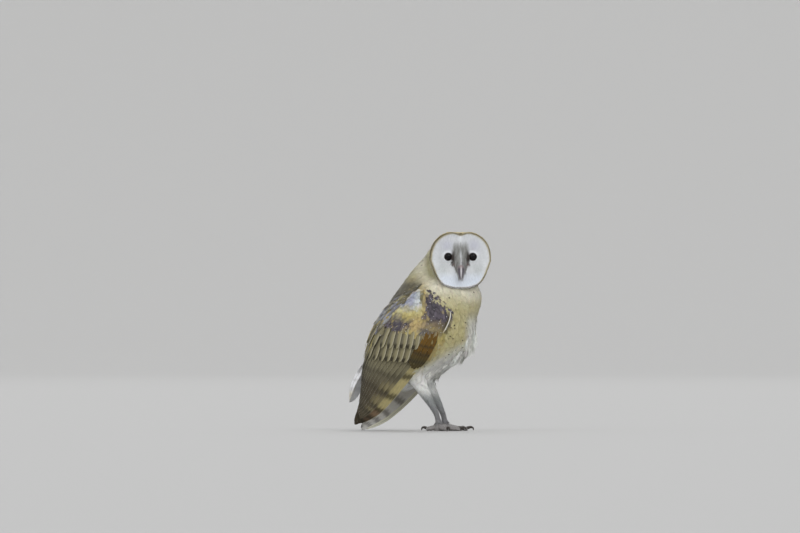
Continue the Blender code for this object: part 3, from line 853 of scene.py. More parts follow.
def scatter(wanted, spacing, seed):
    # points on the skin about the spacing apart, on the faces whose middles are wanted
    roll = np.random.default_rng(seed)
    middle = skinPoints[skinQuads].mean(1)
    owner = skinOwner[skinQuads[:, 0]]
    keep = wanted(middle, owner)
    quads, owner = skinQuads[keep], owner[keep]
    corner = skinPoints[quads]
    area = np.linalg.norm(np.cross(corner[:, 2] - corner[:, 0], corner[:, 3] - corner[:, 1]), axis=1) / 2
    weight = area / float(spacing) ** 2
    count = int(weight.sum() * laying["tries"])
    pick = roll.choice(len(quads), count, p=weight / weight.sum())
    u, v = roll.random((2, count, 1))
    c = corner[pick]
    places = (c[:, 0] * (1 - u) + c[:, 1] * u) * (1 - v) + (c[:, 3] * (1 - u) + c[:, 2] * u) * v
    near, size, chosen, cells = (spacing * laying["closeness"]) ** 2, float(spacing), [], {}
    spots = [tuple(p) for p in places.tolist()]
    around = [(a, b, c) for a in (-1, 0, 1) for b in (-1, 0, 1) for c in (-1, 0, 1)]
    for i, (x, y, z) in enumerate(spots):
        cell = (int(x // size), int(y // size), int(z // size))
        rivals = [spots[j] for da, db, dc in around
                  for j in cells.get((cell[0] + da, cell[1] + db, cell[2] + dc), ())]
        if all((x - px) ** 2 + (y - py) ** 2 + (z - pz) ** 2 >= near for px, py, pz in rivals):
            cells.setdefault(cell, []).append(i)
            chosen.append(i)
    rows = pick[chosen]
    return places[chosen], unit(skinNormals[quads[rows]].mean(1)), owner[rows]


lie = {  # heights, and how far back the feathers slope there
    "front": ((60, 84, 104, 125, 150, 180, 206, 228), (2.1, 1.6, 1.2, 0.45, 0.2, 0, -0.4, -0.3)),
    "back": ((90, 123, 170, 236), (0.3, 0.34, 0.52, 0.85)),
    "leg": ((20, 40, 68, 80, 94), (-0.4, -0.6, -0.5, -0.1, 0.3)),
}


def flow(points, normals, owner):
    # the way that feathers point
    y, z = points[:, 1], points[:, 2]
    front, back, leg = (np.interp(z, *slopes) for slopes in lie.values())
    share = fade(-0.3, 0.3, (y - lineBack(z)) / 50)
    slope = np.where(owner >= 5, leg, front * (1 - share) + back * share)
    way = unit(np.column_stack((0 * y, slope, -np.ones(len(y)))))
    head = fade(52, 44, np.linalg.norm(points - headMiddle, axis=1)) * fade(212, 226, z)
    way = mix(way, np.broadcast_to(unit(-0.9 * outward - 0.75 * upward), way.shape), head)
    return unit(way - normals * (way * normals).sum(1, keepdims=True))


def layOnSkin(places, ways, lengths, rows, rootLift, tipLift):
    spine = np.empty((len(places), rows, 3))
    ups = np.empty_like(spine)
    for i, (place, way, length) in enumerate(zip(places.tolist(), ways.tolist(), lengths.tolist())):
        p, way, step = Vector(place), Vector(way), length / (rows - 1)
        for j in range(rows):
            q, normal = skinTree.find_nearest(p)[:2]
            spine[i, j], ups[i, j] = q, normal
            way = (way - normal * way.dot(normal)).normalized()
            p = q + way * step
    ups[:, 1:-1] = (ups[:, :-2] + ups[:, 1:-1] + ups[:, 2:]) / 3
    ups = unit(ups)
    t = np.linspace(0, 1, rows)
    lift = np.asarray(rootLift)[..., None] * (1 - t) + np.asarray(tipLift)[..., None] * t
    return spine + ups * np.broadcast_to(lift, (len(places), rows))[..., None], ups


def turned(ways, normals, degrees):
    angle = np.radians(dice.normal(0, degrees, len(ways)))[:, None]
    return ways * np.cos(angle) + np.cross(normals, ways) * np.sin(angle)


def vary(colour, amount=0.07, hue=0.012):
    colour = colour * (1 + dice.normal(0, amount, (len(colour), 1)))
    return np.clip(colour * (1 + dice.normal(0, hue, colour.shape)), 0, 1)


def alongSpine(spine, v):
    rows = spine.shape[1]
    at = v * (rows - 1)
    i = np.clip(at.astype(int), 0, rows - 2)
    n = np.arange(len(spine)).reshape(-1, *[1] * (v.ndim - 1))
    t = (at - i)[..., None]
    return spine[n, i] * (1 - t) + spine[n, i + 1] * t


def makePlumes(spine, ups, half, tint, patch, barbs=5, camber=0.2, fray=0.12, marks=None, spread=0.4):
    # soft feathers: a thin web with free barbs that fan from the shaft to the rounded tip
    count = len(spine)
    half = np.broadcast_to(half, (count,)).astype(float)
    along = unit(np.gradient(spine, axis=1))
    side = unit(np.cross(ups, along))
    length = np.linalg.norm(np.diff(spine, axis=1), axis=2).sum(1)
    sign = np.concatenate((-np.ones(barbs), np.ones(barbs), (0,)))
    place = np.concatenate((np.arange(barbs), np.arange(barbs), (barbs,))) / barbs
    start = 0.06 + 0.6 * place
    tip = start + spread
    reach = np.sqrt(np.clip(1 - (np.clip(tip - 0.5, 0, 1) / 0.6) ** 2, 0.02, 1))
    shake = dice.normal(0, fray, (4, count, len(sign)))
    tip = tip + shake[0] * 0.4
    end = half[:, None] * (sign * reach * (1 + shake[1]) + shake[2] * 0.8)
    s = np.array((0, 0.5, 1.0))
    v = start[:, None] + (tip - start)[..., None] * s
    u = end[..., None] * s**0.85
    lean = np.arctan2(end, (tip - start) * length[:, None])[..., None, None]
    up, aside, down = alongSpine(ups, v), alongSpine(side, v), alongSpine(along, v)
    middle = alongSpine(spine, v) + aside * u[..., None]
    sink = camber * u**2 / half[:, None, None] - feather["loose"] * (0.4 + abs(shake[3][..., None])) * s
    middle = middle - up * sink[..., None]
    wide = half[:, None, None] * feather["barb"] / barbs * np.array((0.9, 1.0, 0.3))
    edge = (aside * np.cos(lean) - down * np.sin(lean)) * wide[..., None]
    points = np.stack((middle - edge, middle + edge), 3)
    hands = np.array((-1, 1)) * wide[..., None]
    sideways = u[..., None] + hands * np.cos(lean)
    lengthways = v[..., None] * length[:, None, None, None] - hands * np.sin(lean)
    shape = points.shape[:-1]
    tone = (1 + dice.normal(0, feather["barbTones"], (count, len(sign))))[..., None, None]
    tone = tone * np.array((0.95, 0.98, 1.02))[:, None]
    base = tint[:, None, None, None] if tint.ndim == 2 else alongSpine(tint, np.clip(v, 0, 1))[:, :, :, None]
    colour = base * np.broadcast_to(tone, shape)[..., None]
    vane = np.stack((sideways, lengthways, length[:, None, None, None] - lengthways), -1)
    marks = np.zeros((count, 3)) if marks is None else marks
    cellWide, cellLong = feather["cell"]
    places = mapPlaces(patch[:, None, None, None], (u / half[:, None, None])[..., None] * cellWide,
                       np.clip(v, 0, 1.05)[..., None] * cellLong, shape)
    barbMarks = np.broadcast_to(marks[:, None, None, None], points.shape)
    made = packVanes([dict(points=points, tint=colour, vane=vane, marks=barbMarks, uv=places)],
                     [gridQuads(count * len(sign), 3, 2)])
    tint = tint if tint.ndim == 2 else tint[:, :, None]
    web = makeVanes(spine - ups * feather["webSink"], ups, half * feather["web"], tint * feather["webShade"],
                    patch, 3, camber, feather["webRagged"], marks)
    return [made, web]


tracts = {  # spacing, length, half width, height of the root and of the tip over the skin, unevenness
    "crown": dict(spacing=1.75, length=7, half=1.25, rows=4, barbs=5, root=1.3, tip=2.3, jitter=8),
    "neck": dict(spacing=2.1, length=10.5, half=2.1, rows=5, barbs=9, root=2.5, tip=3.5, jitter=6),
    "nape": dict(spacing=2.2, length=12, half=1.9, rows=6, barbs=7, root=1.8, tip=3.2, jitter=7),
    "body": dict(spacing=2.6, length=13.5, half=2.75, rows=5, barbs=11, root=2.7, tip=3.9, jitter=7,
                 fluff=(0.35, -0.1, 0.15)),  # how much longer, wider and looser the fluffy ones are
    "leg": dict(spacing=1.35, length=7.5, half=0.85, rows=4, barbs=4, root=0.8, tip=1.35, jitter=9,
                fluff=(0.9, 1.0, 0.8)),
    "wing": dict(spacing=2.75, length=10.5, half=2.7, rows=5, barbs=12, root=2.6, tip=3.9, jitter=6),
}


def tractFeathers(key, wanted, seed, marks=None, colouring=None):
    spec = tracts[key]
    places, normals, owner = scatter(wanted, spec["spacing"], seed)
    way = wingWays(places, normals, owner) if key == "wing" else flow(places, normals, owner)
    count = len(places)
    lengths = spec["length"] * (1 + dice.normal(0, 0.1, count))
    half = spec["half"] * (1 + dice.normal(0, 0.08, count))
    rise = spec["tip"] * (1 + dice.normal(0, 0.1, count))
    if "fluff" in spec:
        fluff = fade(48, 80, places[:, 2]) if key == "leg" else paleBelly(places)
        lengths, half, rise = (value * (1 + gain * fluff)
                               for value, gain in zip((lengths, half, rise), spec["fluff"]))
    ways = turned(way, normals, spec["jitter"])
    spine, ups = layOnSkin(places, ways, lengths, spec["rows"], spec["root"], rise)
    colourAt = colouring or (lambda points, owner: bodyTint(points))
    rootColour = colourAt(places, owner)
    colour = np.stack([colourAt(spine[:, j], owner) for j in range(spec["rows"])], 1)
    colour = mix(colour, rootColour[:, None], np.full(colour.shape[:2], 0.35))
    colour = colour * (1 + dice.normal(0, 0.06, (count, 1, 1))) * (1 + dice.normal(0, 0.012, (count, 1, 3)))
    patch = (wingPatches(places, owner) if key == "wing"
             else legPatches(places) if key == "leg" else patchOf(places))
    return makePlumes(spine, ups, half, np.clip(colour, 0, 1), patch, spec["barbs"], 0.22, 0.10,
                      marks(places, owner) if marks else None)


def crownWanted(points, owner):
    a, b, c = toHead(points)
    return (owner == 0) & ((discShare(a, b) > 1.01) | (c < np.minimum(faceDepth(a, b) - 4, 11)))


dots = {  # the share of feathers that have a dark dot, which rises downwards, and the dots' sizes
    "fewest": 0.015, "more": 0.11, "from": 205, "to": 140, "size": (1.0, 1.5), "fromTip": (1.3, 2.0),
    "crown": 0.06, "crownSize": 0.6, "crownFromTip": 1.3,
}


def breastMarks(points, owner):
    count, z = len(points), points[:, 2]
    odds = (dots["fewest"] + dots["more"] * fade(dots["from"], dots["to"], z)) * (1 - paleBelly(points))
    some = dice.random(count) < odds
    size = some * dice.uniform(*dots["size"], count)
    return np.column_stack((size, 0 * z, dice.uniform(*dots["fromTip"], count)))


def crownMarks(points, owner):
    a, b = toHead(points)[:2]
    some = (dice.random(len(points)) < dots["crown"]) & (b > -5)
    return np.column_stack((some * dots["crownSize"], 0 * a, np.full(len(points), dots["crownFromTip"])))


coatPiece("crownFeathers", tractFeathers("crown", crownWanted, 3, crownMarks), softPlumage)
seamShare = seam[skinQuads].mean(1)
neckSets = tractFeathers("neck", lambda p, o: o == 1, 4, breastMarks)
neckSets += tractFeathers("nape", lambda p, o: (o == 0) & (seamShare > 0.12), 14)
coatPiece("neckFeathers", neckSets, softPlumage)
onBack = skinPoints[skinQuads].mean(1)
onBack = onBack[:, 1] >= lineBack(onBack[:, 2]) - 2
upper = tractFeathers("body", lambda p, o: (o == 2) & ~onBack & (p[:, 2] > 150), 5, breastMarks)
coatPiece("breastFeathers", upper, softPlumage)
lower = tractFeathers("body", lambda p, o: (o == 2) & ~onBack & (p[:, 2] <= 150), 9, breastMarks)
coatPiece("bellyFeathers", lower, softPlumage)
behind = tractFeathers("body", lambda p, o: (o == 2) & onBack, 7, breastMarks)
coatPiece("backFeathers", behind, softPlumage)

bristles = {
    "closeness": 1.1, "aside": 2.6, "length": (2, 3.4), "half": 0.16,
    "stray": 0.25, "arch": 0.7, "droop": 0.5,
}


def toeBristles():
    # short bristles along the tops of the toes
    places, ways = [], []
    for turn, length in feet["toes"]:
        ahead, sideways = toeWay(turn)
        for d in np.linspace(3, length - 2, int(length * bristles["closeness"])):
            for side in (-1, 1):
                aside = sideways * dice.uniform(-bristles["aside"], bristles["aside"])
                places.append((np.array((*feet["middle"], 0)) + ahead * d + aside) * (side, 1, 1))
                ways.append((ahead + bristles["stray"] * sideways * dice.normal()) * (side, 1, 1))
    spine, rows = np.empty((len(places), 4, 3)), np.linspace(0, 1, 4)
    for i, (place, way) in enumerate(zip(places, ways)):
        top = toeTree.ray_cast(Vector((place[0], place[1], 30)), Vector((0, 0, -1)))[0]
        top = np.array(Vector(place) if top is None else top) - (0, 0, 0.15)
        spine[i] = top + np.outer(rows * dice.uniform(*bristles["length"]), way)
        spine[i] = spine[i] + np.outer(rows**1.5 * bristles["arch"], (0, 0, 1))
        spine[i] = spine[i] - np.outer(rows**3, (0, 0, bristles["droop"]))
    ups = np.broadcast_to(np.array((0, 0, 1.0)), spine.shape)
    colour = vary(np.tile(tints["bristle"], (len(places), 1)), 0.1)
    half = np.full(len(places), bristles["half"])
    return makeVanes(spine, ups, half, colour, patchOf(spine[:, 0]), 3, 0.3, 0)


toeTree = treeOf(toePoints, toeQuads)
legSets = tractFeathers("leg", lambda p, o: (o > 4) & (p[:, 2] > 14), 6) + [toeBristles()]
coatPiece("legFeathers", legSets, softPlumage)

# each wing's rows and shares of breadth, found from points near it
gridRows, gridShares = np.meshgrid(np.linspace(-0.1, 5.1, 209), np.linspace(-0.12, 1.1, 62), indexing="ij")
gridPoints = wingSurface(gridRows, gridShares).reshape(-1, 3)
gridRows, gridShares = gridRows.ravel(), gridShares.ravel()
wingFinder = KDTree(len(gridPoints))
for number, point in enumerate(gridPoints):
    wingFinder.insert(point, number)
wingFinder.balance()


def wingPlaces(points, owner):
    # each point's row and share on its wing
    points = points.copy()
    left = owner == 4
    points[left, 0] *= -1
    found = np.array([wingFinder.find(p)[1] for p in points])
    drop = alongRows(wing["leftDrop"], gridRows[found])[:, 0]
    points[left, 2] += drop[left]
    found = np.array([wingFinder.find(p)[1] for p in points])
    return gridRows[found], gridShares[found]


def wingWays(points, normals, owner):
    row, share = wingPlaces(points, owner)
    way = wingSurface(row + 0.05, share - 0.004) - wingSurface(row - 0.05, share)
    way[owner == 4, 0] *= -1
    return unit(way - normals * (way * normals).sum(1, keepdims=True))


coverColours = {  # the small feathers of the wing, from the front of the shoulder back and down
    "spots": (  # row, share, size along, size across, colour
        (1.22, 0.58, 0.26, 0.16, "yellow"), (1.12, 0.52, 0.16, 0.12, "lemon"),
        (1.62, 0.40, 0.24, 0.13, "orange"), (0.55, 0.50, 0.34, 0.05, "olive"),
        (1.95, 0.42, 0.2, 0.14, "yellow"), (1.30, 0.72, 0.16, 0.1, "lemon"),
        (2.15, 0.86, 0.40, 0.12, "yellow"), (1.45, 0.03, 0.42, 0.035, "olive"),
        (1.80, 0.05, 0.16, 0.05, "yellow"), (1.74, 0.24, 0.10, 0.09, "blueGrey"),
    ),
    "shoulder": ((-0.1, 0.06, 0.5, 0.76, 0.9, 1.18, 1.56, 1.84, 1.95),  # rows, and the edge's share there
                 (0.14, 0.26, 0.385, 0.43, 0.40, 0.34, 0.30, 0.25, 0.18)),
    "strip": 0.85, "wedge": 0.95, "inner": 0.6, "dots": (0.04, 0.26), "dotSize": 0.8, "dotMiddle": (0.5, 0.2),
}


def wingTint(row, share):
    roll = np.random.default_rng(17)
    shake = roll.normal(0, 1, len(row))
    warm = 0.5 + 0.5 * np.sin(row * 9 + 4 * np.sin(share * 11)) * np.sin(share * 17 + row * 3)
    colour = mix("gold", "olive", 0.35 * warm)
    for spotRow, spotShare, tall, wide, name in coverColours["spots"]:
        away = np.hypot((row - spotRow) / tall, (share - spotShare) / wide) + 0.14 * shake
        colour = mix(colour, name, fade(1.3, 0.7, away))
    strip = fade(0.84, 0.93, share + 0.02 * shake) * fade(1.9, 1.5, row)
    colour = mix(colour, "brownStrip", strip * coverColours["strip"])
    # a purplish grey shoulder and a spot further back
    edge = np.interp(row, *coverColours["shoulder"])
    front = fade(edge + 0.045, edge - 0.03, share + 0.018 * shake) * fade(1.95, 1.72, row + 0.04 * shake)
    front = front * fade(0.03, 0.07, share + 0.5 * fade(1.3, 0.9, row))
    broken = 1 - 0.45 * fade(1.6, 2.0, shake)
    front = front * (1 - 0.55 * fade(1.3, 1.5, row)) * broken
    behind = fade(1.25, 0.75, np.hypot((row - 1.74) / 0.34, (share - 0.66) / 0.17) + 0.13 * shake)
    joining = fade(1.2, 0.8, np.hypot((row - 1.57) / 0.1, (share - 0.49) / 0.05))
    grey = np.maximum(front, np.maximum(behind, joining) * broken)
    colour = mix(colour, tints["grey"] * (1 + 0.2 * roll.normal(0, 1, (len(row), 1))), grey)
    # a pale wedge between them, whiter in front
    ahead, rear = 0.60 - 0.15 * (row - 0.18), 0.65 + 0.27 * (row - 0.18)
    low = 0.3 * (share - 0.6)
    pale = fade(ahead - 0.04, ahead + 0.015, share + 0.015 * shake)
    pale = pale * fade(rear + 0.03, rear - 0.02, share + 0.02 * shake)
    pale = pale * fade(0.12, 0.24, row) * fade(1.16 + low, 1.0 + low, row + 0.03 * shake)
    wedge = mix("whitePatch", "palePatch", fade(ahead + 0.07, ahead + 0.14, share))
    wedge = wedge * (1 + 0.06 * roll.normal(0, 1, (len(row), 1)))
    colour = mix(colour, wedge, pale * coverColours["wedge"])
    inside = fade(0.0, -0.08, share) * fade(0.5, 0.9, row)
    return mix(colour, "breast", inside * coverColours["inner"]), grey * (1 - strip) * (1 - pale)


def wingColouring(points, owner):
    row, share = wingPlaces(points, owner)
    inner = fade(5.0, 7.5, outerDepth(points, owner, row, share)) * fade(0.9, 0.6, share)
    return mix(wingTint(row, share)[0], "underWing", inner * fade(0.6, 1.2, row))


def wingMarks(points, owner):
    row, share = wingPlaces(points, owner)
    fewest, more = coverColours["dots"]
    some = dice.random(len(points)) < fewest + more * wingTint(row, share)[1]
    pale, extra = coverColours["dotMiddle"]
    return np.column_stack((some * coverColours["dotSize"], some * (pale + extra * dice.random(len(points))),
                            np.full(len(points), 1.5)))


def wingPatches(points, owner):
    # places on four charts, of the outer and inner side of each wing
    row, share = wingPlaces(points, owner)
    chart = 2 * (owner == 4) + (outerDepth(points, owner, row, share) > 6)
    return np.column_stack(((share + 0.15) / 1.3 * 0.24 + 0.25 * chart + 0.003, (row + 0.12) / 2.6 * 0.98))


def outerDepth(points, owner, row, share):
    # how far in from the wing's outer side
    near = points.copy()
    near[owner == 4, 0] *= -1
    near[:, 2] += np.where(owner == 4, alongRows(wing["leftDrop"], row)[:, 0], 0)
    return np.linalg.norm(near - wingSurface(row, share), axis=1)


def coverable(points, owner):
    keep = (owner == 3) | (owner == 4)
    near, side = points[keep], owner[keep]
    row, share = wingPlaces(near, side)
    outside = outerDepth(near, side, row, share) < 4.6
    keep[keep] = ~(outside & (row > 1.80 - 0.12 * share) & (share > 0.03)) & ~(row > 2.3)
    return keep


coatPiece("wingSmallFeathers", tractFeathers("wing", coverable, 8, wingMarks, wingColouring),
          wingPlumage)


# the large feathers of the wings
def wingSpines(root, tip, lifts, left, rows=24, bow=0.0):
    t = np.linspace(0, 1, rows)
    root, tip, lifts = (np.asarray(v, float) for v in (root, tip, lifts))
    bow = np.broadcast_to(np.asarray(bow, float), (len(root),))[:, None]
    row = root[:, :1] + (tip - root)[:, :1] * t
    share = root[:, 1:] + (tip - root)[:, 1:] * t + bow * 4 * t * (1 - t)
    lift = lifts[:, :1] + (lifts[:, 1:] - lifts[:, :1]) * t
    return *onWing(row, share, lift, left), row


def wingPatch(count, chart):
    turn = (np.arange(count) + 0.5) / count
    return np.column_stack((0.01 + 0.98 * turn, np.full(count, chart)))


def ramp(first, last, count):
    t = np.linspace(0, 1, count)[:, None]
    return np.asarray(first, float) * (1 - t) + np.asarray(last, float) * t


def placesAlong(points, count):
    # as many places as wanted, from the first point to the last
    if len(points) == count:
        return np.array(points)
    if len(points) == 2:
        return ramp(*points, count)
    return alongRows(points, np.linspace(0, len(points) - 1, count))


def bigFeathers(left, count, root, tip, lifts, half, paint, chart, rows=20, columns=11, bow=(0, 0), shift=0.0,
                roll=0.12, shape=None):
    # root and tip are rows and shares of the wing, and lifts are heights of the root and the tip over it
    spine, ups, row = wingSpines(placesAlong(root, count), placesAlong(tip, count), ramp(*lifts, count), left,
                                 rows, np.linspace(*bow, count))
    t, q = np.linspace(0, 1, rows), np.linspace(-1, 1, columns)
    i = np.arange(count)[:, None, None]
    top, under = (blendAll((count, rows, columns), *layers)
                  for layers in paint(row[:, :, None], t[None, :, None], q[None, None], i))
    start, reach = chart
    hand = -1 if left else 1
    return makeVanes(spine, ups, np.linspace(*half, count), top, wingPatch(count, start), columns, 0.05, 0.02,
                     None, shape, 0.22, under, hand, shift, roll, (min(0.4 / count, 0.04), reach))


def mottle(t, q, i):
    # uneven darker flecks in a feather's web
    a = np.sin(t * 97 + 3.1 * np.sin(q * 5 + i * 1.7) + i * 2.3)
    b = np.sin(t * 41 - q * 7 + i * 5.1)
    return np.clip(0.5 + 0.3 * a * b + 0.2 * np.sin(q * 23 + t * 60 + i), 0, 1)


def bars(row, middles, width):
    dark = 0
    for middle in middles:
        dark = np.maximum(dark, np.exp(-(((row - middle) / width) ** 4)))
    return dark


# The paints below give the layers of a feather's upper side and of its under side.
def covertPaint(base, dark):
    def paint(row, t, q, i):
        # the covered inner part is darkened, and the inner side near the tip: painted shade where the next
        # feather overlaps and painted shadow under each tip
        inner = fade(0.0, -0.35, q)
        spot = fade(0.74, 0.86, t + 0.06 * q) * fade(0.4, 0.0, q)
        top = (base, (dark, 0.35 * mottle(t, q, i)), ("shaft", 0.5 * hump(q, 0, 0.07)), (dark, 0.75 * inner),
               ("flightDark", 0.4 * inner), ("flightDark", 0.9 * spot),
               ("paleEdge", 0.7 * fade(0.6, 0.95, q) * fade(1.0, 0.92, t)))
        return top, ("underWing",)
    return paint


def primaryPaint(row, t, q, i):
    wave = row + 0.02 * np.sin(q * 4 + i)
    dark = bars(wave, (2.95, 3.53, 3.99, 4.34, 4.64), 0.085)
    tip = fade(4.25, 4.75, wave + 0.1 * abs(q))
    top = ("flightGold", ("flightRed", fade(3.85, 4.1, wave)), ("flight", 0.35 * mottle(t, q, i)),
           ("flight", fade(3.5, 5, i)), ("flightDark", 0.8 * dark), ("flightDark", 0.93 * tip),
           ("shaft", 0.45 * hump(q, 0.5, 0.06)), ("paleEdge", 0.9 * fade(0.86, 1.0, q) * (i < 1)))
    under = ("underWing", ("underBar", 0.75 * dark * fade(0.75, 0.2, q)),
             ("underGrey", 0.25 * fade(4.0, 4.7, wave)), ("whiteShaft", hump(q, 0.5, 0.1)),
             ("creamEdge", fade(-0.35, -0.05, q) * (i < 1)),
             ("underGrey", 0.7 * hump(q, 0.36, 0.07) * (i < 1)))
    return top, under


def secondaryPaint(row, t, q, i):
    wave = row + 0.03 * np.sin(q * 3 + i * 1.3)
    dark = bars(wave, (3.02, 3.45, 3.88, 4.25), 0.07)
    gold = 0.27 * fade(3.2, 1.0, i) * fade(3.16, 3.28, wave) * fade(4.2, 4.1, wave)
    top = ("flight", ("flightLow", fade(2.8, 3.6, wave)), ("covert", 0.4 * fade(3.1, 2.7, wave)),
           ("flightDark", 0.35 * mottle(t, q, i)), ("flightDark", 0.45 * dark),
           ("flightGold", gold * (1 - bars(wave, (3.53, 3.99), 0.10))),
           # the inner half is darkened on all but the innermost: painted shade where the next feather
           # overlaps
           ("flightDark", 0.6 * fade(0.25, -0.1, q) * (1 - fade(9.5, 11.5, i))),
           ("shaft", 0.3 * hump(q, 0.25, 0.06)), ("paleEdge", 0.2 * fade(0.8, 1.0, q)),
           ("whitePatch", 0.95 * fade(-0.35, -0.6, q) * fade(7.5, 10, i)))
    return top, ("underWing", ("underBar", 0.7 * dark))


def tertialPaint(row, t, q, i):
    top = (tints["yellow"] * 0.75, ("olive", 0.3 + 0.5 * mottle(t, q, i)), ("flight", fade(2.35, 2.8, row)),
           ("flightDark", 0.5 * bars(row, (2.95, 3.3), 0.06)), ("shaft", 0.4 * hump(q, 0, 0.07)),
           ("palePatch", 0.9 * fade(-0.3, -0.6, q) * fade(2.3, 2.6, row)))
    return top, ("underWing",)


def alulaPaint(row, t, q, i):
    top = ("rufous", ("rufousDark", fade(2.15, 2.5, row)), ("flightDark", 0.4 * mottle(t, q, i)),
           ("flightDark", 0.6 * bars(row, (2.1, 2.32, 2.52), 0.04)),
           (tints["shaft"] * 0.6, 0.5 * hump(q, 0, 0.08)), ("olive", 0.3 * fade(0.7, 1.0, q)))
    return top, ("underWing",)


def frontEdgePaint(row, t, q, i):
    layers = ("whiteShaft", ("rufousDark", fade(0.15, -0.3, q)), ("gold", 0.5 * fade(0.75, 1.0, t)))
    return layers, layers


bigGroups = {  # each group from the leading edge in
    "primaries": dict(
        count=10, root=((2.30, 0.05), (2.32, 0.12), (2.34, 0.22)),
        tip=((4.80, 0.06), (5.04, 0.30), (4.98, 0.62), (4.70, 0.92), (4.40, 0.98), (4.05, 0.98)),
        lifts=((-3.4, -2.3), (-2.8, -1.8)), half=(6.0, 8.0), paint=primaryPaint, chart=(0.005, 0.14), rows=44,
        shift=0.5, roll=0.10, shape=dict(root=0.5, widest=0.3, tip=0.12)),
    "secondaries": dict(
        count=12, root=((2.28, 0.17), (2.18, 0.90)),
        tip=((4.60, 0.46), (4.52, 0.70), (4.36, 0.88), (4.14, 0.98), (3.88, 1.00), (3.50, 1.01)),
        lifts=((-2.8, -0.9), (-1.9, 0.4)), half=(6.6, 6.4), paint=secondaryPaint, chart=(0.15, 0.13), rows=40,
        bow=(-0.03, 0.0), shift=0.25, shape=dict(root=0.6, widest=0.3, tip=0.25)),
    "tertials": dict(
        count=3, root=((1.85, 0.80), (1.78, 0.86), (1.72, 0.91)),
        tip=((3.15, 0.99), (2.85, 1.00), (2.55, 1.00)),
        lifts=((-1.2, 0.6), (-0.8, 0.9)), half=(5.0, 5.0), paint=tertialPaint, chart=(0.285, 0.05), rows=30,
        columns=9, roll=0.1),
    "greaterCoverts": dict(
        count=10, root=((2.05, 0.20), (2.05, 0.91)),
        tip=((2.60, 0.15), (2.63, 0.36), (2.73, 0.62), (2.80, 0.95)),
        lifts=((-2.2, 0.3), (-1.8, 0.7)), half=(5.4, 5.4), paint=covertPaint("covert", "flight"),
        chart=(0.34, 0.04), shape=dict(root=0.6, widest=0.4, tip=0.4)),
    "medianCoverts": dict(
        count=9, root=((1.68, 0.26), (1.70, 0.88)),
        tip=((2.22, 0.20), (2.27, 0.37), (2.38, 0.60), (2.46, 0.92)),
        lifts=((-1.4, 0.9), (-1.2, 1.2)), half=(5.4, 5.4), chart=(0.385, 0.04), rows=18,
        paint=covertPaint(tints["covert"] * 1.12, "greyCovert"), shape=dict(root=0.6, widest=0.4, tip=0.4)),
    "primaryCoverts": dict(
        count=6, root=((1.92, 0.07), (1.95, 0.23)), tip=((2.64, 0.05), (2.72, 0.12), (2.60, 0.20)),
        lifts=((-1.6, 0.3), (-1.2, 0.9)), half=(3.6, 3.6), paint=alulaPaint, chart=(0.43, 0.022), columns=9,
        roll=0.14),
    "alula": dict(
        count=3, root=((1.62, 0.11), (1.62, 0.15), (1.64, 0.20)),
        tip=((2.28, 0.06), (2.36, 0.12), (2.26, 0.19)),
        lifts=((-0.8, 1.0), (-0.5, 1.5)), half=(3.7, 3.7), paint=alulaPaint, chart=(0.456, 0.018), columns=9,
        roll=0.14),
}
frontEdge = dict(  # one white-edged feather along the front of the wing
    count=1, root=((0.98, 0.035),), tip=((1.66, 0.05),), lifts=((0.2, 1.1), (0.2, 1.1)), half=(1.5, 1.5),
    paint=frontEdgePaint, chart=(0.488, 0.01), columns=7, roll=0.1, shape=dict(root=0.3, widest=0.3, tip=0.2))
scapulars = {  # along the back edge of the wing
    "count": 46, "rows": (-0.08, 2.0), "shares": (0.78, 0.92, 0.85), "reach": (0.26, 0.38),
    "aside": (-0.03, 0.05), "lift": (0.5, 1.7), "half": (3.2, 4.4), "chart": 0.48,
    "dotted": 0.35, "dot": (0.9, 0.6, 1.6),  # share that have a dot; its size, pale middle and height
    "colours": ("covert", "greyLilac", "brownStrip", "olive", "brownStrip", "greyLilac", "covert",
                "brownStrip"),
}


def scapularFeathers(left):
    roll = np.random.default_rng(5)
    count = scapulars["count"]
    row = np.linspace(*scapulars["rows"], count) + roll.uniform(-0.03, 0.03, count)
    share = np.tile(scapulars["shares"], count)[:count] + 0.05 * roll.random(count)
    root = np.column_stack((row, share))
    reach = roll.uniform(*scapulars["reach"], count)
    tip = root + np.column_stack((reach, roll.uniform(*scapulars["aside"], count)))
    lifts = np.column_stack((np.full(count, -0.2), roll.uniform(*scapulars["lift"], count)))
    spine, ups, _ = wingSpines(root, tip, lifts, left, 6)
    names = scapulars["colours"]
    colour = vary(np.array([tints[names[k]] for k in roll.integers(0, len(names), count)]), 0.1)
    colour = mix(colour, "mantle", 0.75 * fade(0.8, 0.45, row))
    colour = mix(colour, "palePatch", 0.6 * hump(row, 1.35, 0.22))
    some = roll.random(count) < scapulars["dotted"]
    size, pale, fromTip = scapulars["dot"]
    marks = np.column_stack((some * size, some * pale, np.full(count, fromTip)))
    return makePlumes(spine, ups, roll.uniform(*scapulars["half"], count), colour,
                      wingPatch(count, scapulars["chart"]), 10, 0.2, 0.12, marks)


def wingSet(left):
    sets = [bigFeathers(left, **group) for group in bigGroups.values()]
    return sets + scapularFeathers(left) + [bigFeathers(left, **frontEdge)]


rightWing = coatPiece("rightWingFeathers", wingSet(False), wingPlumage)
leftWing = coatPiece("leftWingFeathers", wingSet(True), wingPlumage)
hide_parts("flight_right")
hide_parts("flight_left")

tail = {
    "line": ((94, 135), (98, 124), (110, 105), (123, 87), (132, 67), (136.5, 41)),  # back and up
    "wide": (8, 11, 14, 18, 23, 27), "arch": 4, "count": 12, "half": 7.4, "rows": 40, "columns": 11,
    "bars": (2.2, 2.95, 3.6, 4.2), "barWidth": 0.11, "thick": 0.22,
}


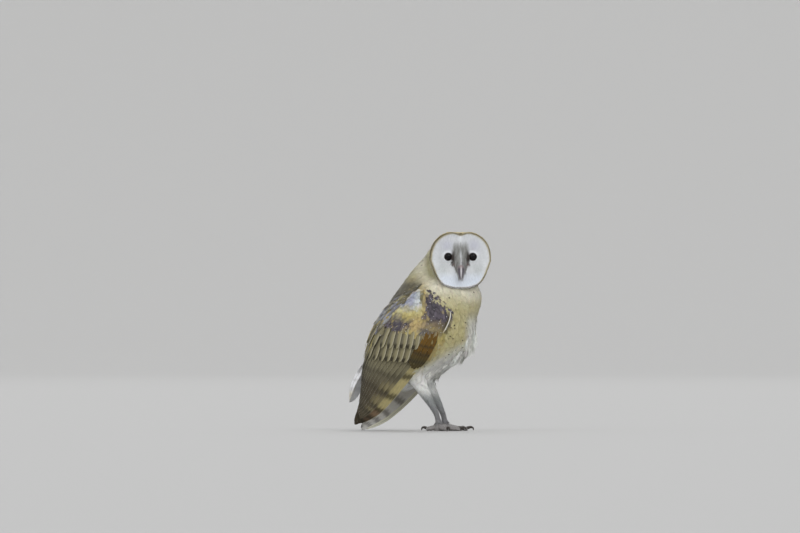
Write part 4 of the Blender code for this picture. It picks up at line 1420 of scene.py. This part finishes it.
def tailFeathers():
    count, rows, columns = tail["count"], tail["rows"], tail["columns"]
    order = np.linspace(-1, 1, count)
    away = abs(order)
    stop = 5.0 - 0.5 * away ** 1.6
    at = 0.2 + (stop[:, None] - 0.2) * np.linspace(0, 1, rows)
    line, wide = alongRows(tail["line"], at), alongRows(tail["wide"], at)[..., 0]
    along = unit(np.gradient(line, axis=1))
    up = np.stack((0 * at, -along[..., 1], along[..., 0]), -1)
    up = np.where(up[..., 1:2] < 0, -up, up)
    x = order[:, None] * (wide - 6.2)
    depth = -0.9 - 3.2 * away[:, None] - tail["arch"] * (order[:, None] ** 2) * 0.3
    spine = np.concatenate((x[..., None], line), -1) + up * depth[..., None]
    lean = (order * 0.32 + np.sign(order) * 0.75 * fade(0.2, 1, away))[:, None, None] * np.array((1, 0, 0))
    t, q = np.linspace(0, 1, rows)[None, :, None], np.linspace(-1, 1, columns)[None, None]
    i = np.arange(count)[:, None, None]
    shape = (count, rows, columns)
    dark = bars(at[:, :, None], tail["bars"], tail["barWidth"])
    # both sides are darker towards the feathers' side edges: painted shade where the feathers overlap
    top = blendAll(shape, "tailTop", ("tailUnder", 0.9 * fade(0.3, 0.6, away)[:, None, None]),
                   ("flight", 0.12 * mottle(t, q, i)),
                   ("tailBar", dark * (0.6 - 0.35 * fade(0.3, 0.8, away))[:, None, None]),
                   ("paleEdge", 0.8 * fade(0.93, 1.0, t)), ("shaft", 0.35 * hump(q, 0, 0.07)),
                   ("flight", 0.25 * fade(0.86, 1.0, abs(q))))
    under = blendAll(shape, "tailUnder", ("underGrey", 0.25 * dark),
                     ("underGrey", 0.15 * fade(0.7, 1, abs(q))), ("whiteShaft", hump(q, 0, 0.08)))
    patch = np.column_stack((0.06 + 0.08 * np.arange(count), np.full(count, 0.02)))
    return makeVanes(spine, unit(up + lean), np.full(count, tail["half"]), top, patch, columns, 0.06, 0.015,
                     None, dict(root=0.45, widest=0.6, tip=0.45), tail["thick"], under, cell=(0.036, 0.44))


tailPiece = coatPiece("tailFeathers", [tailFeathers()], wingPlumage)
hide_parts("tail")

# the long soft feathers under the breast
tufts = {
    "locks": (  # each lock's root and tip, as across, back and up, and how wide it starts
        (-9, -50, 150, -9, -47, 118, 5), (-1, -52, 152, -3, -48, 117, 5), (8, -50, 150, 9, -47, 119, 5),
        (-16, -46, 146, -19, -44, 119, 4.5), (16, -45, 146, 20, -42, 120, 4.5),
        (-5, -49, 138, -6, -44, 111, 4.5), (-9, -41, 126, -9, -35, 108, 4.5),
        (2, -42, 126, 2, -37, 108, 4.5), (12, -38, 124, 14, -33, 108, 4.5), (-17, -36, 122, -20, -30, 107, 4),
        (-9, -34, 118, -10, -27, 99, 4.5), (1, -35, 118, 1, -28, 98, 4.5), (11, -31, 117, 13, -25, 100, 4.5),
        (-16, -27, 114, -17, -20, 98, 4), (-8, -23, 111, -9, -15, 95, 4), (3, -23, 111, 3, -15, 95, 4),
        (13, -19, 108, 15, -11, 94, 4), (-14, -13, 106, -16, -5, 91, 4), (-5, -11, 104, -6, -2, 88, 4),
        (6, -9, 102, 7, -1, 87, 4), (-14, -1, 100, -16, 7, 82, 4.5), (-4, 1, 98, -4, 10, 80, 4.5),
        (8, 3, 97, 9, 12, 79, 4.5), (16, -4, 100, 18, 4, 83, 4), (-20, 8, 93, -22, 14, 74, 4),
        (0, 14, 91, 0, 22, 73, 4), (20, 8, 93, 22, 14, 74, 4),
    ),
    "each": 12, "spread": 0.62, "tipSpread": 2.2, "lift": 1.8, "length": (0.6, 1.0), "half": (2.0, 3.2),
    "droop": 0.06, "rows": 6, "barbs": 9, "barbSpread": 0.5,
}


def bellyTufts():
    # feathers that stand free of the body and bend down under their own weight
    locks = np.repeat(np.array(tufts["locks"], float), tufts["each"], axis=0)
    count = len(locks)
    spots = locks[:, :3] + dice.normal(0, tufts["spread"], (count, 3)) * locks[:, 6:]
    ends = locks[:, 3:6] + dice.normal(0, tufts["tipSpread"], (count, 3))
    found = [skinTree.find_nearest(Vector(p))[:2] for p in spots]
    roots = np.array([q + normal * tufts["lift"] for q, normal in found])
    ways = ends - roots
    lengths = np.linalg.norm(ways, axis=1) * dice.uniform(*tufts["length"], count)
    colour = vary(mix("belly", "thigh", dice.random(count) * 0.6), 0.035)
    half = dice.uniform(*tufts["half"], count)
    t = np.linspace(0, 1, tufts["rows"])[None, :, None]
    ways = unit(ways)[:, None]
    pull = np.array((0, 0, -1.0)) * tufts["droop"]
    spine = roots[:, None] + lengths[:, None, None] * (ways * t + pull * t**2)
    aside = unit(np.cross(ways, np.broadcast_to((0.25, 0.9, 0.1), ways.shape)))
    turn = dice.normal(0, 0.5, (count, 1, 1))
    other = np.cross(aside, ways)
    ups = np.broadcast_to(unit(aside * np.cos(turn) + other * np.sin(turn)), spine.shape)
    return makePlumes(spine, ups, half, colour, patchOf(roots), tufts["barbs"], 0.15, 0.16,
                      spread=tufts["barbSpread"])


coatPiece("bellyTufts", bellyTufts(), softPlumage)

ridge = {"up": (-26, -18, -12, -5, 5, 24, 32), "half": (3.6, 5.2, 8.2, 10.6, 11.4, 11.0, 8.0)}


def ridgeHalf(b):
    # half the width of the dark ridge between the eyes
    return np.interp(b, ridge["up"], ridge["half"])


blots = {  # aside, width, up and height of soft spots on each side of the face
    "underEye": (25, 9, -14, 13), "aboveEye": (20, 9, 22, 9), "innerCorner": (11.2, 2.3, 4, 8),
    "rust": (11.0, 2.2, -5.5, 2.6),
}


def blot(a, b, name):
    aside, wide, up, tall = blots[name]
    return np.exp(-(((abs(a) - aside) / wide) ** 2) - ((b - up) / tall) ** 2)


def faceTint(a, b):
    share = discShare(a, b)
    half = ridgeHalf(b)
    inside = fade(1.12, 0.8, abs(a) / half) * fade(31, 17, b) * fade(-30, -25, b)
    streak = 0.5 + 0.5 * np.sin(a * 2.1 + 1.3 * np.sin(b * 0.33)) * np.sin(a * 0.9 + b * 0.12)
    # dark down the sides of the ridge, from the eyes' inner corners to the bill
    edge = hump(abs(a), half * 0.93, 1.3 + 0.9 * fade(-8, 6, b)) * fade(17, 10, b)
    # pinkish at the lower edge, gold at the rest of it
    rim = fade(0.93, 0.985, share)
    low = fade(-26, -34, b)
    return blendAll(np.shape(a), "face", ("faceShade", 0.5 * blot(a, b, "underEye")),
                    ("faceLilac", 0.6 * blot(a, b, "aboveEye")),
                    ("faceLow", 0.9 * fade(-12, -28, b)),
                    (mix("ridge", "ridgeLow", fade(2, -14, b)), inside * (0.62 + 0.38 * streak)),
                    (tints["face"] * 0.85, 0.75 * hump(a, 0, 0.8) * fade(16, 8, b) * fade(-12, -6, b)),
                    ("eyeSmudge", 0.8 * edge * fade(-26, -6, b + 2 * np.sign(a))),
                    ("eyeSmudge", np.minimum(1.15 * blot(a, b, "innerCorner"), 1)),
                    ("rust", 0.4 * blot(a, b, "rust")),
                    ("eyeSmudge", 0.6 * fade(6.1, 5.6, eyeDistance(a, b))),
                    (mix("rimGold", "rimPink", low), rim * (0.25 + 0.5 * (1 - low))))


def surfaceStrands(a, b, da, db, length, half, rootLift, tipLift, colour, rows=4, bend=0.0):
    # narrow feathers laid on the face, from (a, b) along (da, db)
    t = np.linspace(0, 1, rows)
    reach = length[:, None] * t
    turn = bend * t**2
    size = np.hypot(da, db)
    da, db = (da / size)[:, None], (db / size)[:, None]
    pa = a[:, None] + reach * (da - db * turn)
    pb = b[:, None] + reach * (db + da * turn)
    lift = rootLift + (tipLift - rootLift) * t
    spine = facePoint(pa, pb, lift)
    d = 0.25
    slopeA = (coatDepth(pa + d, pb) - coatDepth(pa - d, pb)) / (2 * d)
    slopeB = (coatDepth(pa, pb + d) - coatDepth(pa, pb - d)) / (2 * d)
    normal = unit(outward - slopeA[..., None] * across - slopeB[..., None] * upward)
    patch = np.column_stack((0.5 + a / 110, 0.5 + b / 110)) * 0.98
    along = unit(np.gradient(spine, axis=1))
    side = unit(np.cross(normal, along))
    taper = half[:, None] * np.interp(t, (0, 0.4, 0.8, 1), (0.7, 1, 0.75, 0.12))
    points = spine[:, :, None] + side[:, :, None] * (taper[..., None] * np.array((-1, 1)))[..., None]
    tone = (1 + dice.normal(0, 0.025, len(a)))[:, None, None, None]
    colour = colour[:, None, None] if colour.ndim == 2 else colour[:, :, None]
    colour = np.broadcast_to(colour, points.shape) * tone
    vane = np.broadcast_to(np.stack((a, b, length), 1)[:, None, None], points.shape)
    uv = mapPlaces(patch[:, None, None], np.array((-0.001, 0.001)), t[:, None] * 0.003, points.shape[:-1])
    return packVanes([dict(points=points, tint=colour, vane=vane, marks=np.zeros(points.shape), uv=uv)],
                     [gridQuads(len(a), rows, 2)])


def faceSpots(gap, seed):
    roll = np.random.default_rng(seed)
    steps = np.arange(-48, 48, gap)
    a, b = (v.ravel() for v in np.meshgrid(steps, steps * 0.9))
    a, b = a + roll.uniform(-0.5, 0.5, len(a)) * gap, b + roll.uniform(-0.5, 0.5, len(b)) * gap
    bare = (abs(a) < 3.2) & (b < -12) & (b > -22)
    keep = (discShare(a, b) < 0.97) & (eyeDistance(a, b) > 5.7) & ~bare
    return a[keep], b[keep]


def faceWays(a, b):
    # the feathers fan away from the eyes, and run down the ridge
    away = eyeDistance(a, b)
    da = np.sign(a) * (abs(a) - eyes["aside"]) / away
    db = (b - eyes["up"]) / away
    onRidge = fade(1.0, 0.72, abs(a) / ridgeHalf(b)) * fade(36, 22, b)
    ra, rb = np.sign(a) * (0.15 + 0.9 * hump(b, 20, 9)), -1 + 2 * fade(8, 32, b)
    da, db = da * (1 - onRidge) + ra * onRidge, db * (1 - onRidge) + rb * onRidge
    return da + 1e-4, db


face = {
    "layers": ((1.25, 21, 1.0, 0.25), (1.15, 22, 0.85, 0.5)),  # gap, seed, size and height
    "length": (2.6, 8.5), "ridgeLength": 4.2, "half": (0.36, 0.66), "tips": (0.92, 0.97, 1.0, 1.03),
    "middles": (  # down the forehead and under the bill
        # count, spread, lowest, highest, turn, unevenness, half width and height of the tip
        (260, 1.3, 9, 34, 0.18, 0.04, 0.42, 0.75), (150, 1.7, -35, -20, 0.12, 0.03, 0.45, 0.5),
    ),
    "rings": ((5.75, 110, 2.4), (6.3, 120, 3.0), (7.0, 130, 3.6), (7.8, 140, 4.2)),  # reach, count, length
    "bristles": 220, "lashes": 90,
}


def faceCoat(gap, seed, size, rise):
    a, b = faceSpots(gap, seed)
    da, db = faceWays(a, b)
    away = eyeDistance(a, b)
    short, long = face["length"]
    length = size * np.clip(short + 0.32 * (away - 6), short, long) * (1 + dice.normal(0, 0.1, len(a)))
    room = np.clip(1.0 - discShare(a, b), 0, 1) * 40
    length = np.minimum(length, room + 1.6)
    length = np.where(abs(a) < ridgeHalf(b), np.minimum(length, face["ridgeLength"]), length)
    thin, broad = face["half"]
    half = np.clip(thin + 0.016 * (away - 6), thin, broad)
    angle = dice.normal(0, 0.12, len(a))
    da, db = da * np.cos(angle) - db * np.sin(angle), da * np.sin(angle) + db * np.cos(angle)
    tips = np.array(face["tips"])
    rows = len(tips)
    far = length[:, None] * np.linspace(0, 1, rows) / np.hypot(da, db)[:, None]
    colour = faceTint(a[:, None] + da[:, None] * far * 0.8, b[:, None] + db[:, None] * far * 0.8)
    # each strand is darker at its root and lighter at its tip: painted shade where the strands overlap
    colour = np.clip(colour * tips[None, :, None], 0, 1)
    bend = 0.12 * np.sign(a)[:, None]
    return surfaceStrands(a, b, da, db, length, half, rise - 0.45, rise, colour, rows, bend)


def faceFeathers():
    sets = [faceCoat(*layer) for layer in face["layers"]]
    for count, spread, low, high, turn, uneven, half, rise in face["middles"]:
        a, b = dice.normal(0, spread, count), dice.uniform(low, high, count)
        colour = vary(faceTint(a, b - 3), uneven)
        length = np.minimum(dice.uniform(4, 6.5, count), b + 40)
        sets.append(surfaceStrands(a, b, turn * np.sign(a), -np.ones(count), length, np.full(count, half),
                                   -0.2, rise, colour, 5))
    # close rings of tiny feathers round the eyes
    for reach, count, size in face["rings"]:
        for sign in (-1, 1):
            angle = np.linspace(0, 2 * np.pi, count, endpoint=False) + dice.normal(0, 0.02, count)
            ca, cb = np.cos(angle), np.sin(angle)
            a, b = sign * eyes["aside"] + ca * reach, eyes["up"] + cb * reach
            colour = vary(faceTint(a + ca * 1.2, b + cb * 1.2), 0.03)
            length = size * (1 + dice.normal(0, 0.1, count))
            sets.append(surfaceStrands(a, b, ca, cb, length, np.full(count, 0.30), -0.1, 0.45, colour))
    # bristles over the base of the bill
    count = face["bristles"]
    a, b = dice.uniform(-6.5, 6.5, count), dice.uniform(-13, 2, count)
    colour = vary(faceTint(a, b) * 0.8, 0.15)
    sets.append(surfaceStrands(a, b, np.sign(a) * 0.25, -np.ones(count), dice.uniform(5, 9, count),
                               np.full(count, 0.22), -0.2, 1.3, colour, 5))
    # a few fine lashes at the inner corners of the eyes
    count = face["lashes"]
    sign = np.where(dice.random(count) < 0.5, -1, 1)
    a = sign * dice.uniform(10.2, 12.6, count)
    b = dice.uniform(-5, 11, count)
    colour = np.broadcast_to(tints["eyeSmudge"], (count, 3))
    da, db = sign * dice.uniform(-0.1, 0.5, count), dice.uniform(-1, 0.2, count) - 0.3
    length = dice.uniform(3, 5, count)
    sets.append(surfaceStrands(a, b, da, db, length, np.full(count, 0.2), 0.0, 0.9, colour))
    return sets


coatPiece("faceFeathers", faceFeathers(), facePlumage)

ruff = {
    "rings": (  # reach and depth of root and tip, half width, spacing, colour of root and tip
        (0.955, 0.998, 15.0, 17.8, 0.55, 0.62, "face", "rimWhite"),
        (0.965, 1.006, 14.8, 18.1, 0.55, 0.62, "rimWhite", "rimGold"),
        (0.975, 1.016, 14.0, 18.2, 0.6, 0.66, "rimGold", "rimGold"),
        (0.982, 1.026, 12.8, 18.0, 0.6, 0.66, "rimGold", "rimDark"),
        (0.985, 1.032, 11.2, 17.2, 0.65, 0.72, "rimGold", "rimDark"),
        (0.985, 1.034, 9.4, 15.8, 0.7, 0.78, "nape", "rimGold"),
        (0.985, 1.032, 7.4, 14.0, 0.8, 0.85, "nape", "nape"),
        (0.985, 1.028, 5.4, 12.0, 0.85, 0.9, "nape", "crown"),
    ),
    "around": 252, "outward": 0.45, "pink": 0.55,
}


def ruffFeathers():
    # stiff little feathers whose tips make the raised edge of the face
    sets = []
    for ring, (inner, outer, low, high, half, gap, first, last) in enumerate(ruff["rings"]):
        count = int(ruff["around"] / gap)
        angle = np.interp(np.linspace(0, 1, count, endpoint=False), np.linspace(0, 1, len(rimPath)), rimPath)
        angle = angle + dice.normal(0, 0.010, count)
        a, b = discOutline(angle)
        t = np.array((0, 0.35, 0.7, 1.0))
        reach = inner + (outer - inner) * t**0.7 + dice.normal(0, 0.005, (count, 1))
        out = low + (high + dice.normal(0, 0.6, (count, 1)) - low) * t
        spine = fromHead(a[:, None] * reach, b[:, None] * reach, out)
        radial = unit(a[:, None] * across + b[:, None] * upward)
        ups = np.broadcast_to(unit(radial * 0.9 + outward * ruff["outward"])[:, None], spine.shape)
        shade = np.clip(t, 0, 1)[None, :, None, None] ** 2
        dark = hump(a, 0, 9) * (b > 0) + (ruff["pink"] * fade(-26, -36, b) if last == "rimGold" else 0)
        tip = mix(last, "rimDark", np.clip(dark, 0, 1))
        tint = tints[first] * (1 - shade) + tip[:, None, None] * shade
        tint = np.broadcast_to(tint, (count, 4, 3, 3)) * (1 + dice.normal(0, 0.1, (count, 1, 1, 1)))
        patch = np.column_stack((0.02 + 0.95 * np.arange(count) / count, np.full(count, 0.985 - 0.01 * ring)))
        sets.append(makeVanes(spine, ups, np.full(count, half), np.clip(tint, 0, 1), patch, 3, 0.2, 0.08))
    return sets


rimSteps = np.hypot(np.diff(rimAcross), np.diff(rimUp))
rimReached = np.concatenate(((0,), np.cumsum(rimSteps))) / rimSteps.sum()
rimPath = np.interp(np.linspace(0, 1, 721), rimReached, rimAngles)
coatPiece("ruffFeathers", ruffFeathers(), facePlumage)


# eyes and eyelids
def revolved(profile, turns):
    # profile of (out, radius) rows turned about the outward axis, relative to the eye's middle
    angle = np.linspace(0, 2 * np.pi, turns, endpoint=False)
    out, radius = np.asarray(profile, float).T
    points = (out[:, None, None] * outward + radius[:, None, None]
              * (np.cos(angle)[None, :, None] * across + np.sin(angle)[None, :, None] * upward))
    return points.reshape(-1, 3), ringQuads(len(profile), turns)


def addEye(side):
    angle = np.linspace(0.002, np.pi - 0.002, eyes["rings"])
    bulge = eyes["bulge"] * np.exp(-((angle / eyes["bulgeAngle"]) ** 4))
    radius = eyes["radius"] - eyes["sunk"] + bulge
    points, quads = revolved(np.column_stack((radius * np.cos(angle), radius * np.sin(angle))), eyes["sides"])
    pupil = np.repeat(angle, eyes["sides"])[:, None] < eyes["pupilAngle"]
    eyeball = meshPiece("eyeball" + side.title(), eyeMiddles[side] + points, quads, eyeShader,
                        tintValues(np.where(pupil, tints["pupil"], tints["iris"])))
    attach(eyeball, "root")
    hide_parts("eye_" + side)


lid = {
    "reach": 5.65, "wider": 0.2, "corner": 1.0, "cornerTurn": 0.3, "cornerWidth": 0.36, "sides": 72,
    "roughness": 0.5,
    "rims": ((-0.2, -0.9), (-0.05, -0.15), (0.08, 0.1), (0.25, 0.1), (0.6, -0.25), (1.2, -0.9), (2.4, -1.8)),
}


def lidForm(side):
    # the opening is a little wider than it is tall, and dips at the inner corner
    sign = -1 if side == "right" else 1
    angle = np.linspace(0, 2 * np.pi, lid["sides"], endpoint=False)
    turn = angle - (np.pi if sign > 0 else 0) + lid["cornerTurn"] * sign
    corner = hump(np.angle(np.exp(1j * turn)), 0, lid["cornerWidth"])
    opening = lid["reach"] + lid["wider"] * np.cos(2 * angle) + lid["corner"] * corner
    rows = []
    for grow, rise in lid["rims"]:
        r = opening + grow
        a, b = r * np.cos(angle), r * np.sin(angle)
        ball = np.sqrt(np.maximum((eyes["radius"] + 0.1) ** 2 - opening**2, 0)) + rise
        land = coatDepth(a + sign * eyes["aside"], b + eyes["up"]) - 0.4 - eyes["out"]
        share = fade(0.1, 1.2, grow)
        out = ball * (1 - share) + (land - 0.3) * share
        rows.append(a[:, None] * across + b[:, None] * upward + out[:, None] * outward)
    return (eyeMiddles[side] + np.stack(rows, 0)).reshape(-1, 3), ringQuads(len(rows), lid["sides"])


def addLids():
    right, left = lidForm("right"), lidForm("left")
    points = np.concatenate((right[0], left[0]))
    quads = np.concatenate((right[1], left[1] + len(right[0])))
    lids = meshPiece("eyelids", points, quads, shaderOf("lidSkin", tints["lid"], lid["roughness"])[0])
    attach(lids, "root")


eyeShader, shader = tintedShader("eyeGlaze", eyes["roughness"])
shader.inputs["IOR"].default_value = eyes["bending"]
shader.inputs["Specular IOR Level"].default_value = eyes["shine"]
for side in ("right", "left"):
    addEye(side)
addLids()
print("eyes and lids are made")

bill = {  # rows of up, front edge, back edge and half width
    "upper": ((-5.5, 28.2, 18.5, 3.2), (-8, 30.0, 18.5, 4.3), (-11, 31.4, 18.6, 4.7),
              (-14.5, 32.0, 19.0, 4.6), (-18, 31.8, 19.8, 4.0), (-21.5, 30.9, 21.6, 3.1),
              (-24.5, 29.4, 23.8, 2.0), (-26.6, 27.8, 25.2, 1.0), (-27.6, 26.7, 25.9, 0.35)),
    "lower": ((-13, 25.0, 15.5, 3.4), (-17, 25.2, 15.5, 3.2), (-20, 24.8, 16.5, 2.6),
              (-22.6, 23.6, 18.0, 1.6), (-24, 22.2, 19.5, 0.5)),
}


billLook = {
    "rings": 36, "sides": 36, "swelling": 0.3, "nostrilDepth": 0.8, "nostrilSink": 0.6, "roughness": 0.38,
}


def billForm(name):
    rings, sides = billLook["rings"], billLook["sides"]
    t = np.linspace(0, 1, rings)
    up, front, behind, half = alongRows(bill[name], t * (len(bill[name]) - 1)).T
    out, deep = (front + behind) / 2, (front - behind) / 2
    angle = np.linspace(0, 2 * np.pi, sides, endpoint=False)
    c, s = np.cos(angle), np.sin(angle)
    a = half[:, None] * np.sign(c) * abs(c) ** 0.9 * (1 - 0.30 * np.maximum(s, 0) ** 1.5)
    # the soft swelling at the base, and the nostrils
    depth = deep[:, None] * s + hump(t, 0.2, 0.13)[:, None] * billLook["swelling"] * np.maximum(s, 0)
    nostril = np.exp(-(((t[:, None] - 0.30) / 0.05) ** 2) - ((abs(c) - 0.66) / 0.16) ** 2) * (s > 0)
    if name == "upper":
        depth = depth - billLook["nostrilDepth"] * nostril
        a = a - np.sign(c) * billLook["nostrilSink"] * nostril
    points = fromHead(a, np.broadcast_to(up[:, None], a.shape), out[:, None] + depth)
    # dark down the sides and in the nostril dents: painted shade; pale along the front crest: painted
    # highlight
    tone = blendAll(a.shape, "billPink",
                    ("billShade", 0.9 * fade(0.18, 0.5, abs(c)) * fade(0.05, 0.4, t)[:, None]),
                    ("billHighlight", hump(c, 0, 0.3) * (s > 0) * fade(0.12, 0.4, t)[:, None]),
                    (tints["billShade"] * 0.4, np.minimum(nostril * 1.3, 1)))
    return points.reshape(-1, 3), ringQuads(rings, sides)[:, [0, 3, 2, 1]], tone.reshape(-1, 3)


horn, shader = tintedShader("billHorn", billLook["roughness"])
for name in bill:
    points, quads, tone = billForm(name)
    piece = meshPiece("bill" + name.title(), points, quads, horn, tintValues(tone))
    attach(piece, "root")
    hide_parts("bill_" + name)

claw = {
    "voxel": 0.34, "swell": 0.25, "roughness": 0.3, "streaks": 700,
    "dark": (0.018, 0.014, 0.012), "light": (0.07, 0.055, 0.045),
}
clawNodes = [f"claw_{toe}_{side}" for toe in ("hind", "inner", "middle", "outer")
             for side in ("left", "right")]
clawPoints, clawQuads = meshArrays(remeshed(clawNodes, "clawForm", claw["voxel"], claw["swell"]))
clawPoints = relax(clawPoints, clawQuads, 3)
clawPoints[:, 2] = np.maximum(clawPoints[:, 2], 0.02)
keratin, tree, shader = shaderOf("clawHorn", tints["claw"], claw["roughness"])
streaks = tree.nodes.new("ShaderNodeTexNoise")
streaks.inputs["Scale"].default_value = claw["streaks"]
tone = tree.nodes.new("ShaderNodeValToRGB")
for element, shade in zip(tone.color_ramp.elements, ("dark", "light")):
    element.color = (*claw[shade], 1)
tree.links.new(streaks.outputs["Fac"], tone.inputs["Fac"])
tree.links.new(tone.outputs["Color"], shader.inputs["Base Color"])
claws = meshPiece("claws", clawPoints, clawQuads, keratin)
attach(claws, "root")
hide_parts(*clawNodes)
print("bill and claws are made")
